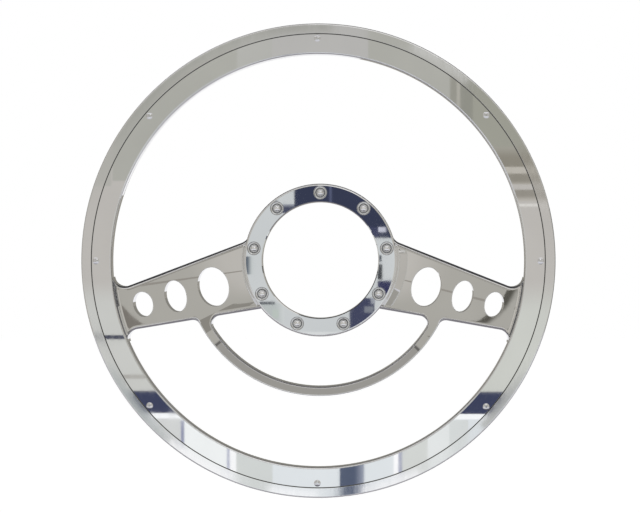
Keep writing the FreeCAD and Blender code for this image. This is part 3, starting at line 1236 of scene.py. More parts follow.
@dataclass(frozen=True)
class HubStud:
    """One stud of the hub: a plain dome head, a shank through the hub and a threaded end behind it."""

    place: Spot
    number: int
    head_r: float = 3.1
    head_side: float = 0.6
    proud: float = 0.3
    shank_r: float = 1.75
    thread_r: float = 2.0
    thread_start: float = 0.3
    reach: float = 12.0
    end_chamfer: float = 0.5
    pitch: float = 0.7
    fade_turns: float = 1.15
    turn_rows: int = 8
    thread_depth: float = 0.36
    steps: int = 48
    dome_strips: int = 14

    def build(self) -> bpy.types.Object:
        """Turns the head and shank and winds the thread.

        Returns:
            The finished piece.
        """
        s, skin = SIZES, Skin()
        angles = full_turn(self.steps)
        seat_y = s.hub_face_y + s.stud_seat_depth
        side_y = seat_y - self.head_side
        top_y = s.hub_face_y - self.proud
        dome = side_y - top_y
        dome_r = (self.head_r ** 2 + dome ** 2) / (2 * dome)
        reach = math.degrees(math.asin(min(1.0, self.head_r / dome_r)))
        turned_round(skin, (0.0, top_y + dome_r), dome_r, -90, -90 + reach, angles, self.place,
                     self.dome_strips)
        neck = ((self.head_r, side_y), (self.head_r, seat_y), (self.shank_r, seat_y),
                (self.shank_r, self.thread_start))
        turned_profile(skin, neck, -1, angles, self.place)
        self.wind_thread(skin, angles)
        return skin.to_object("stud_%d" % self.number)

    def wind_thread(self, skin: Skin, angles: Array) -> None:
        """Adds the thread: the radius falls from the crest by a V that moves one pitch with each turn.

        Args:
            skin: Where the surface goes.
            angles: Angles round the stud in radians.
        """
        start, end = self.thread_start, self.reach
        rows = round((end - start) / self.pitch * self.turn_rows)
        y = np.linspace(start, end, rows + 1)[:, None]
        phase = (y / self.pitch - angles[None, :] / (2 * math.pi)) % 1.0
        groove = np.abs(2 * phase - 1)
        fade = np.clip(np.minimum(y - start, end - y) / (self.pitch * self.fade_turns), 0.0, 1.0)
        radius = self.thread_r - self.thread_depth * groove * fade
        radius = np.minimum(radius, self.thread_r - self.end_chamfer + (end - y))
        radius[0], radius[-1] = self.shank_r, self.thread_r - self.end_chamfer
        plan = radius[..., None] * unit(angles)[None] + np.array(self.place)
        points = in_space(plan, np.broadcast_to(y, radius.shape))
        around = np.roll(points[:, :-1], -1, axis=1) - np.roll(points[:, :-1], 1, axis=1)
        around = np.concatenate([around, around[:, :1]], axis=1)
        along = np.gradient(points, axis=0)
        normals, least = np.cross(along, around), 1e-9
        normals /= np.maximum(np.linalg.norm(normals, axis=-1, keepdims=True), least)
        ray = in_space(np.broadcast_to(unit(angles)[None], plan.shape), 0.0)
        normals *= np.where((normals * ray).sum(axis=-1, keepdims=True) < 0, -1.0, 1.0)
        skin.add_grid(points, normals)
        turned_line(skin, (self.thread_r - self.end_chamfer, end), (0.0, end), -1, angles, self.place)


@dataclass(frozen=True)
class RimScrew:
    """One screw of the rim: a raised countersunk head with a small hexagon socket."""

    place: Spot
    number: int
    dome: float = 0.6
    shank_r: float = 1.25
    socket: float = 1.5
    socket_depth: float = 1.0
    steps: int = 48
    dome_rows: int = 9

    def build(self) -> bpy.types.Object:
        """Turns the screw and sinks its socket.

        Returns:
            The finished piece.
        """
        s, skin = SIZES, Skin()
        angles = full_turn(self.steps)
        head_r = s.rim_screw_head_r
        top_y = s.rim_face_y - self.dome
        dome_r = (head_r ** 2 + self.dome ** 2) / (2 * self.dome)
        middle_y = top_y + dome_r
        hexagon = self.hexagon_r(angles)
        share = np.linspace(0.0, 1.0, self.dome_rows)[:, None]
        radius = hexagon[None] + (head_r - hexagon[None]) * share
        y = middle_y - np.sqrt(dome_r ** 2 - radius ** 2)
        plan = radius[..., None] * unit(angles)[None]
        normals = in_space(plan, y - middle_y) / dome_r
        skin.add_grid(in_space(plan + np.array(self.place), y), normals)
        self.sink_socket(skin, angles, hexagon, y[0], top_y)
        cone_y = s.rim_face_y + head_r - self.shank_r
        end_y = s.rim_face_y + s.rim_screw_length
        shank = ((head_r, s.rim_face_y), (self.shank_r, cone_y), (self.shank_r, end_y), (0.0, end_y))
        turned_profile(skin, shank, -1, angles, self.place)
        return skin.to_object("screw_%d" % self.number)

    def hexagon_r(self, angles: Array) -> Array:
        """Distance of the socket's wall from its middle: half its width over the cosine to the flat."""
        turn = (angles + math.pi / 6) % (math.pi / 3) - math.pi / 6
        return self.socket / 2 / np.cos(turn)

    def sink_socket(self, skin: Skin, angles: Array, hexagon: Array, rim_y: Array, top_y: float) -> None:
        """Adds the socket's walls and floor.

        Args:
            skin: Where the surface goes.
            angles: Angles round the screw in radians.
            hexagon: Distance of the wall from the middle at each angle.
            rim_y: Height of the dome at the wall.
            top_y: Height of the dome's top, that the depth is counted from.
        """
        floor_y = np.full(len(angles), top_y + self.socket_depth)
        plan = hexagon[:, None] * unit(angles) + np.array(self.place)
        flat = np.round(angles / (math.pi / 3)) * (math.pi / 3)
        inwards = in_space(-unit(flat), 0.0)
        wall = np.stack([in_space(plan, rim_y), in_space(plan, floor_y)])
        skin.add_grid(wall, np.stack([inwards, inwards]))
        middle = np.broadcast_to(np.array(self.place), plan.shape)
        floor = np.stack([in_space(plan, floor_y), in_space(middle, floor_y)])
        skin.add_grid(floor, np.broadcast_to([0.0, -1.0, 0.0], floor.shape))


def feed(node: bpy.types.Node, inputs: Inputs) -> None:
    """Sets or joins a node's inputs.

    Args:
        node: The node.
        inputs: For each input, by name or number, its plain value or the socket that feeds it.
    """
    for name, value in inputs.items():
        if isinstance(value, bpy.types.NodeSocket):
            node.id_data.links.new(value, node.inputs[name])
        else:
            node.inputs[name].default_value = value


def add_node(tree: bpy.types.NodeTree, kind: str, inputs: Optional[Inputs] = None,
             **values: object) -> bpy.types.Node:
    """Adds a node to a tree.

    Args:
        tree: Where the node goes.
        kind: Its type.
        inputs: What its inputs get, as for feed.
        values: Its properties.

    Returns:
        The new node.
    """
    node = tree.nodes.new(kind)
    for name, value in values.items():
        setattr(node, name, value)
    feed(node, inputs or {})
    return node


class Sockets(Enum):
    """Kinds of socket that a node group offers."""

    VALUE = "NodeSocketFloat"
    COLOUR = "NodeSocketColor"


class ShaderGroup:
    """A shader group with named sockets, which each kind of group wires in its own way."""

    NAME = ""
    INPUTS: dict[str, Sockets] = {}
    OUTPUTS: dict[str, Sockets] = {}

    def __init__(self) -> None:
        """Makes the group once."""
        self.tree = bpy.data.node_groups.new(self.NAME, "ShaderNodeTree")
        for side, sockets in (("INPUT", self.INPUTS), ("OUTPUT", self.OUTPUTS)):
            for name, kind in sockets.items():
                self.tree.interface.new_socket(name=name, in_out=side, socket_type=kind.value)
        self._wire()

    def _wire(self) -> None:
        """Joins the group's inputs to its outputs."""
        raise NotImplementedError

    def _node(self, kind: str, inputs: Optional[Inputs] = None, **values: object) -> bpy.types.Node:
        """Adds a node to the group, as add_node does."""
        return add_node(self.tree, kind, inputs, **values)

    def _math(self, operation: str, *inputs: Union[bpy.types.NodeSocket, float]) -> bpy.types.NodeSocket:
        """One step of arithmetic on sockets and numbers."""
        return self._node("ShaderNodeMath", dict(enumerate(inputs)), operation=operation).outputs[0]

    def place_in(self, tree: bpy.types.NodeTree, inputs: Inputs) -> bpy.types.Node:
        """Adds the group to a material's nodes and feeds its inputs."""
        return add_node(tree, "ShaderNodeGroup", inputs, node_tree=self.tree)


class PolishGroup(ShaderGroup):
    """Shader group for a polished face: soft haze, fine wiping marks and a slight wave in the surface."""

    NAME = "polish_marks"
    INPUTS = {"Metal": Sockets.COLOUR, "Smoothest": Sockets.VALUE, "Roughest": Sockets.VALUE,
              "Mark size": Sockets.VALUE}
    OUTPUTS = {"Colour": Sockets.COLOUR, "Roughness": Sockets.VALUE, "Height": Sockets.VALUE}
    HAZE_SIZE = 22.0
    WAVE_SIZE = 9.0
    MARK_STRETCH = (1.0, 1.0, 0.18)
    MARK_TURN = (0.0, 0.6, 0.0)

    def _wire(self) -> None:
        """Joins noise over the object's own coordinates to the outputs."""
        entry = self._node("NodeGroupInput").outputs
        place = self._node("ShaderNodeTexCoord").outputs["Object"]
        stretch = self._node("ShaderNodeMapping", {"Vector": place, "Scale": self.MARK_STRETCH,
                                                   "Rotation": self.MARK_TURN})
        haze, marks, wave = (self._node("ShaderNodeTexNoise", inputs).outputs["Fac"] for inputs in (
            {"Vector": place, "Scale": self.HAZE_SIZE, "Detail": 4.0},
            {"Vector": stretch.outputs["Vector"], "Scale": entry["Mark size"], "Detail": 3.0,
             "Roughness": 0.7},
            {"Vector": place, "Scale": self.WAVE_SIZE, "Detail": 1.0}))
        both = self._math("MULTIPLY", haze, marks)
        rough = self._node("ShaderNodeMapRange", {"Value": both, "From Min": 0.15, "From Max": 0.4,
                                                  "To Min": entry["Smoothest"], "To Max": entry["Roughest"]})
        shade = self._node("ShaderNodeMapRange", {"Value": haze, "From Min": 0.3, "From Max": 0.7,
                                                  "To Min": 0.97, "To Max": 1.03})
        tint = self._node("ShaderNodeMix", {"Factor": 1.0, "A": entry["Metal"], "B": shade.outputs["Result"]},
                          data_type="RGBA", blend_type="MULTIPLY")
        self._node("NodeGroupOutput", {"Colour": tint.outputs["Result"], "Roughness": rough.outputs["Result"],
                                       "Height": wave})


class ShadeAndDirtLine(ShaderGroup):
    """Shader group that paints shade, and dirt in the seam, along a line in a piece's front, darkening and
    dulling the metal.

    The widths and depths are in millimetres, from the line and along the axle.
    """

    INPUTS = {"Colour": Sockets.COLOUR, "Roughness": Sockets.VALUE}
    OUTPUTS = {"Colour": Sockets.COLOUR, "Roughness": Sockets.VALUE}
    # Colour of the painted shade, and of the dirt in the seam.
    SHADE_AND_DIRT = (0.3, 0.3, 0.29, 1.0)
    DULL = 0.45
    HALF_WIDTH = 0.3
    SOFT = 0.12
    DEEPEST = 0.0
    SOFT_DEPTH = 0.5

    def _away(self, place: bpy.types.NodeSocket) -> bpy.types.NodeSocket:
        """Distance from the line, in metres, for a point of the piece."""
        raise NotImplementedError

    def _radius(self, place: bpy.types.NodeSocket) -> bpy.types.NodeSocket:
        """Distance from the wheel's axle."""
        flat = self._node("ShaderNodeVectorMath", {0: place, 1: (1.0, 0.0, 1.0)}, operation="MULTIPLY")
        return self._node("ShaderNodeVectorMath", {0: flat.outputs[0]}, operation="LENGTH").outputs["Value"]

    def _falling(self, value: bpy.types.NodeSocket, start: float, width: float) -> bpy.types.NodeSocket:
        """Share that falls from 1 to 0 over a width after a start, both in millimetres."""
        ends = {"From Min": start * MM, "From Max": (start + width) * MM, "To Min": 1.0, "To Max": 0.0}
        return self._node("ShaderNodeMapRange", {"Value": value, **ends}).outputs["Result"]

    def _wire(self) -> None:
        """Mixes the painted shade, and in the seam the dirt, into the colour and roughness near the line."""
        entry = self._node("NodeGroupInput").outputs
        place = self._node("ShaderNodeTexCoord").outputs["Object"]
        depth = self._node("ShaderNodeSeparateXYZ", {0: place}).outputs["Y"]
        share = self._math("MULTIPLY", self._falling(self._away(place), self.HALF_WIDTH, self.SOFT),
                           self._falling(depth, self.DEEPEST, self.SOFT_DEPTH))
        mixed = {}
        for name, kind, shade_and_dirt_value in (("Colour", "RGBA", self.SHADE_AND_DIRT), ("Roughness", "FLOAT", self.DULL)):
            mix = self._node("ShaderNodeMix", {"Factor": share, "A": entry[name], "B": shade_and_dirt_value}, data_type=kind)
            mixed[name] = mix.outputs["Result"]
        self._node("NodeGroupOutput", mixed)


class SeamLine(ShadeAndDirtLine):
    """Dirt and painted shade in the seam between rim plate and grip ring."""

    NAME = "seam_dirt_and_shade"
    DEEPEST = SIZES.rim_face_y + 0.6

    def _away(self, place: bpy.types.NodeSocket) -> bpy.types.NodeSocket:
        """Distance from the seam's circle."""
        off = self._math("SUBTRACT", self._radius(place), (SIZES.seam_r + SIZES.seam_gap / 2) * MM)
        return self._math("ABSOLUTE", off)


class SeatLine(ShadeAndDirtLine):
    """Painted shade at the mouth and at the foot of each hub stud's seat, in the recess round the head."""

    NAME = "seat_shade"
    # Colour of the painted shade in the seat.
    SHADE_AND_DIRT = (0.36, 0.36, 0.37, 1.0)
    HALF_WIDTH = 0.12
    SOFT = 0.3
    DEEPEST = SIZES.hub_face_y + SIZES.stud_seat_depth + 0.2

    def _away(self, place: bpy.types.NodeSocket) -> bpy.types.NodeSocket:
        """Distance from the nearer of the seat's two edges around the nearest stud.

        The angle round the axle is wrapped to one stud's share of the turn, so one stud stands for all.

        Args:
            place: The point in the object's own coordinates.

        Returns:
            The distance in metres.
        """
        s = SIZES
        split = self._node("ShaderNodeSeparateXYZ", {0: place}).outputs
        half = math.pi / s.stud_count
        turn = self._math("WRAP", self._math("ARCTAN2", split["X"], split["Z"]), half, -half)
        radius = self._radius(place)
        beside = self._math("MULTIPLY", radius, self._math("SINE", turn))
        beyond = self._math("MULTIPLY", radius, self._math("COSINE", turn))
        beyond = self._math("SUBTRACT", beyond, s.stud_circle_r * MM)
        squares = self._math("ADD", self._math("POWER", beside, 2.0), self._math("POWER", beyond, 2.0))
        from_stud = self._math("SQRT", squares)
        gaps = [self._math("ABSOLUTE", self._math("SUBTRACT", from_stud, r * MM))
                for r in (s.stud_mouth_r, s.stud_seat_r)]
        return self._math("MINIMUM", *gaps)


@dataclass(frozen=True)
class MetalFinish:
    """Finish of one kind of metal piece.

    Attributes:
        name: Name of the material.
        colour: Colour of the bare metal.
        smoothest: Least roughness of its face.
        roughest: Most roughness, in the haze and marks.
        mark_size: Scale of the wiping marks.
        wave: Strength of the slight wave in the face.
        shade_and_dirt_lines: Names of the groups that paint shade, and dirt in the seam, along a line.
    """

    name: str
    colour: tuple[float, float, float, float]
    smoothest: float
    roughest: float
    mark_size: float
    wave: float
    shade_and_dirt_lines: tuple[str, ...] = ()

    def material(self, groups: dict[str, ShaderGroup]) -> bpy.types.Material:
        """Makes the material from the shared groups.

        Args:
            groups: The groups by name.

        Returns:
            The new material.
        """
        made = bpy.data.materials.new(self.name)
        made.use_nodes = True
        tree = made.node_tree
        marks = {"Metal": self.colour, "Smoothest": self.smoothest, "Roughest": self.roughest,
                 "Mark size": self.mark_size}
        polish = face = groups[PolishGroup.NAME].place_in(tree, marks)
        bump = add_node(tree, "ShaderNodeBump", {"Strength": 1.0, "Distance": self.wave,
                                                 "Height": polish.outputs["Height"]})
        # Painted shade along the seam and the stud seats, with dirt in the seam.
        for line in self.shade_and_dirt_lines:
            face = groups[line].place_in(tree, {name: face.outputs[name] for name in ShadeAndDirtLine.INPUTS})
        feed(tree.nodes["Principled BSDF"], {
            "Metallic": 1.0, "Base Color": face.outputs["Colour"], "Roughness": face.outputs["Roughness"],
            "Normal": bump.outputs["Normal"]})
        return made


# The seam line paints shade and dirt, and the seat line paints shade, into these finishes.
BODY_FINISH = MetalFinish("polished_aluminium", (0.90, 0.90, 0.895, 1.0), 0.012, 0.032, 240.0, 0.000005,
                          (SeamLine.NAME, SeatLine.NAME))
GRIP_FINISH = MetalFinish("polished_rim", (0.89, 0.89, 0.885, 1.0), 0.04, 0.08, 320.0, 0.000006,
                          (SeamLine.NAME,))
STUD_FINISH = MetalFinish("stud_steel", (0.95, 0.95, 0.95, 1.0), 0.15, 0.22, 900.0, 0.00001,
                          (SeatLine.NAME,))
SCREW_FINISH = MetalFinish("screw_steel", (0.80, 0.80, 0.81, 1.0), 0.07, 0.15, 900.0, 0.00001)
FINISHES = (BODY_FINISH, GRIP_FINISH, STUD_FINISH, SCREW_FINISH)


def mount_piece(piece: bpy.types.Object, material: bpy.types.Material,
                node: str) -> None:
    """Gives a piece its material and puts it in the place of a node.

    Args:
        piece: The finished piece.
        material: The finish's material.
        node: The node that it stands for.
    """
    piece.data.materials.append(material)
    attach(piece, BODY)
    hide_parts(node)
    LOG.info("%s: %d faces for %s", piece.name, len(piece.data.polygons), node)


@dataclass(frozen=True)
class View:
    """The camera, in metres: where it stands and the point of the rim's plane that it looks at."""

    place: Place = (0.038, -1.284, 0.0105)
    target: Place = (0.00198, -0.084, 0.00367)
    lens: float = 90.2

    def build(self) -> None:
        """Makes the camera and hands it to the scene."""
        camera = add_object("view", bpy.data.cameras.new("view"))
        camera.data.lens = self.lens
        camera.location = self.place
        way = Vector(self.target) - Vector(self.place)
        camera.rotation_euler = way.to_track_quat("-Z", "Y").to_euler()
        bpy.context.scene.camera = camera


def glow_of(shown: Colour) -> tuple[float, ...]:
    """Light that a card gives so that polished metal shows a colour.

    The colour's parts are made linear and divided by what the metal sends back.

    Args:
        shown: The colour, 0 to 255.

    Returns:
        Red, green, blue and alpha of the light.
    """
    mirror = 0.9
    part = np.array(shown) / 255
    linear = np.where(part < 0.04045, part / 12.92, ((part + 0.055) / 1.055) ** 2.4)
    return (*(linear / mirror).tolist(), 1.0)


@dataclass(frozen=True)
class Fade:
    """Change of a card's colour along one axis.

    Attributes:
        axis: Axis of the change, 0 to 2.
        start: Where the card's own colour ends, in metres.
        end: Where the other colour is reached, in metres.
        colour: The other colour, 0 to 255.
    """

    axis: int
    start: float
    end: float
    colour: Colour


@dataclass(frozen=True)
class Card:
    """A flat glowing card that shows only in reflections, where it paints a reflection onto the polished
    metal.

    Attributes:
        name: Name of the card.
        outline: Its corners in order, in metres.
        colour: What polished metal shows of it, 0 to 255.
        fade: Change of its colour along one axis, if any.
    """

    name: str
    outline: tuple[Place, ...]
    colour: Colour
    fade: Optional[Fade] = None

    @classmethod
    def flat(cls, name: str, low: Place, high: Place, colour: Colour, fade: Optional[Fade] = None) -> "Card":
        """Card with four corners.

        Args:
            name: Name of the card.
            low: Its lowest corner in metres.
            high: The opposite corner, equal to the first along one axis.
            colour: What polished metal shows of it, 0 to 255.
            fade: Change of its colour along one axis, if any.

        Returns:
            The card.
        """
        corners, least = np.tile(np.array(low), (4, 1)), 1e-9
        u, v = np.flatnonzero(np.abs(np.array(high) - np.array(low)) > least)
        corners[1:3, u] = high[u]
        corners[2:4, v] = high[v]
        return cls(name, tuple(map(tuple, corners.tolist())), colour, fade)

    def build(self) -> None:
        """Makes the card and its plain glow."""
        mesh = bpy.data.meshes.new(self.name)
        mesh.from_pydata(self.outline, [], [tuple(range(len(self.outline)))])
        mesh.materials.append(self.glow())
        card = add_object(self.name, mesh)
        card.visible_camera = False
        card.visible_diffuse = False
        card.visible_shadow = False

    def glow(self) -> bpy.types.Material:
        """Makes the card's glowing material.

        Returns:
            The new material.
        """
        made = bpy.data.materials.new(self.name)
        made.use_nodes = True
        tree, fade, light = made.node_tree, self.fade, glow_of(self.colour)
        tree.nodes.clear()
        if fade:
            place = add_node(tree, "ShaderNodeTexCoord").outputs["Object"]
            along = add_node(tree, "ShaderNodeSeparateXYZ", {0: place}).outputs[fade.axis]
            share = add_node(tree, "ShaderNodeMapRange", {"Value": along, "From Min": fade.start,
                                                          "From Max": fade.end},
                             interpolation_type="SMOOTHSTEP")
            mix = add_node(tree, "ShaderNodeMix", {"Factor": share.outputs["Result"], "A": light,
                                                   "B": glow_of(fade.colour)}, data_type="RGBA")
            light = mix.outputs["Result"]
        glow = add_node(tree, "ShaderNodeEmission", {"Color": light})
        add_node(tree, "ShaderNodeOutputMaterial", {"Surface": glow.outputs[0]})
        return made


@dataclass(frozen=True)
class PaintedReflection:
    """Glowing card on the wall behind the camera that paints a reflection onto a flat face of the wheel,
    placed by where that face shows it.

    Attributes:
        x: Left and right end on the face, in millimetres.
        z: Lower and upper end on the face, in millimetres.
        colour: What the face shows, 0 to 255.
        fade: Change along one axis of the face: axis 0 or 2, start, end and colour.
    """

    x: Spot
    z: Spot
    colour: Colour
    fade: Optional[Fade] = None


@dataclass(frozen=True)
class PaintedGlint:
    """Glowing card that paints a glint onto the flat band of the grip ring, and shows on nothing else.

    Attributes:
        start: Angle where it begins, in degrees from +X towards +Z.
        end: Angle where it ends.
        colour: What the band shows, 0 to 255.
    """

    start: float
    end: float
    colour: Colour


# Extents on the faces in millimetres, and colours, of the painted reflections below.
FAR = 400
PANES = (-FAR, -117.5)
LEFT = (-FAR, -115)
RIGHT = (130, FAR)
HIGH = (100, FAR)
HUB_EDGE = 72
GREY = (186, 183, 179)
COOL = (198, 199, 196)
NAVY = (62, 67, 92)
PALE_BLUE = (221, 226, 230)
# Painted reflections on the rim's flat face.
REFLECTIONS_PAINTED_ON_RIM = (
    PaintedReflection((-154, -36), (60, FAR), (170, 170, 164)),
    PaintedReflection((-60, -34), HIGH, (178, 178, 174)),
    PaintedReflection((-34, 38), HIGH, (181, 180, 178)),
    PaintedReflection((38, 99), HIGH, (172, 172, 166)),
    PaintedReflection((99, 104), (84, FAR), (150, 149, 141)),
    PaintedReflection((104, 106.5), (84, FAR), (172, 170, 162)),
    PaintedReflection((106.5, 116), (84, FAR), (143, 143, 135)),
    PaintedReflection((116, FAR), (85, FAR), (156, 156, 146)),
    PaintedReflection(RIGHT, (70, 85), (140, 136, 126), Fade(2, 76, 86, (160, 158, 149))),
    PaintedReflection(RIGHT, (65, 70), (186, 182, 174)),
    PaintedReflection(RIGHT, (57, 65), (142, 138, 129), Fade(2, 60, 56, (176, 172, 164))),
    PaintedReflection(RIGHT, (44.5, 53), (146, 142, 134), Fade(2, 49, 44.5, (182, 178, 171))),
    PaintedReflection(RIGHT, (40.5, 42.5), (214, 212, 208)),
    PaintedReflection((-FAR, -154), (56, FAR), (176, 175, 170)),
    PaintedReflection(LEFT, (-97, -12), COOL, Fade(2, -34, -12, GREY)),
    PaintedReflection((115, FAR), (-97, -12), (200, 202, 197), Fade(2, -40, -12, GREY)),
    PaintedReflection(LEFT, (-58.5, -55.5), (70, 72, 88)),
    PaintedReflection(LEFT, (-88, -85), (172, 170, 166)),
    PaintedReflection((-FAR, FAR), PANES, PALE_BLUE),
    PaintedReflection((-FAR, FAR), (-113.5, -97), NAVY, Fade(2, -99.5, -95, (120, 122, 130))),
    PaintedReflection((-FAR, FAR), (-117.5, -113.5), (248, 250, 252)),
    PaintedReflection((-FAR, -101.5), PANES, (208, 210, 210)),
    PaintedReflection((-101.5, -99), (-FAR, -119), (146, 150, 174)),
    PaintedReflection((-99, -67), PANES, (238, 241, 242)),
    PaintedReflection((-67, -65), PANES, (172, 176, 196)),
    PaintedReflection((-65, -60), PANES, (247, 248, 250)),
    PaintedReflection((-60, -33), PANES, (206, 210, 209)),
    PaintedReflection((17, 35), PANES, (84, 93, 114), Fade(0, 27, 36, (150, 156, 172))),
    PaintedReflection((57, 60.5), PANES, (252, 252, 254)),
    PaintedReflection((60.5, 63), PANES, (148, 152, 176)),
    PaintedReflection((63, 82), PANES, (208, 211, 209)),
    PaintedReflection((82, 98), PANES, (226, 229, 230)),
    PaintedReflection((98, 112), PANES, (213, 217, 217)),
)
# Painted glints on the grip ring's flat band.
GLINTS_PAINTED_ON_GRIP = (
    PaintedGlint(50, 66, (196, 196, 194)),
    PaintedGlint(86, 150, (160, 160, 155)),
    PaintedGlint(207, 230, (176, 181, 181)),
    PaintedGlint(231, 248, (250, 250, 252)),
    PaintedGlint(258, 270.5, (249, 250, 253)),
    PaintedGlint(281, 296, (248, 248, 251)),
    PaintedGlint(315, 331, (178, 179, 177)),
)
# Colours and extents of the painted reflections on the hub's flat face.
STEEL = (199, 203, 205)
HUB_NAVY = (54, 59, 80)
SLATE = (66, 70, 94)
REFLECTIONS_PAINTED_ON_HUB = (
    PaintedReflection((-HUB_EDGE, HUB_EDGE), (-HUB_EDGE, HUB_EDGE), STEEL),
    PaintedReflection((-HUB_EDGE, -28), (-HUB_EDGE, -34), (182, 188, 188), Fade(0, -36, -26, (205, 209, 210))),
    PaintedReflection((-20, HUB_EDGE), (17.5, HUB_EDGE), HUB_NAVY),
    PaintedReflection((7.5, 9.5), (38, HUB_EDGE), (84, 90, 116)),
    PaintedReflection((20, 46), (17.5, 26), (64, 68, 94)),
    PaintedReflection((46, 52), (22, 26), (196, 198, 212)),
    PaintedReflection((-31, -20), (37, 44), (72, 76, 96), Fade(2, 41, 44, (150, 154, 164))),
    PaintedReflection((-42, -33), (44, 47), (86, 92, 102)),
    PaintedReflection((-HUB_EDGE, -52), (-11, 3), (84, 94, 106), Fade(0, -57.5, -52.5, (196, 201, 202))),
    PaintedReflection((45.5, 49), (-15, -3), (38, 42, 48)),
    PaintedReflection((46, 48.5), (-1, 4), (70, 76, 84)),
    PaintedReflection((45.5, HUB_EDGE), (-27.5, -16), (54, 56, 88)),
    PaintedReflection((23.5, 43), (-HUB_EDGE, -29.5), SLATE),
    PaintedReflection((35, 42), (-41, -36), (122, 126, 136)),
    PaintedReflection((40, 43.5), (-34, -29), (150, 154, 164)),
    PaintedReflection((-47, -35), (-34.5, -32.5), (62, 66, 76)),
    PaintedReflection((-37, -32), (-45, -38.5), (184, 193, 188)),
    PaintedReflection((-26, 22), (-HUB_EDGE, -56), (214, 217, 218)),
)


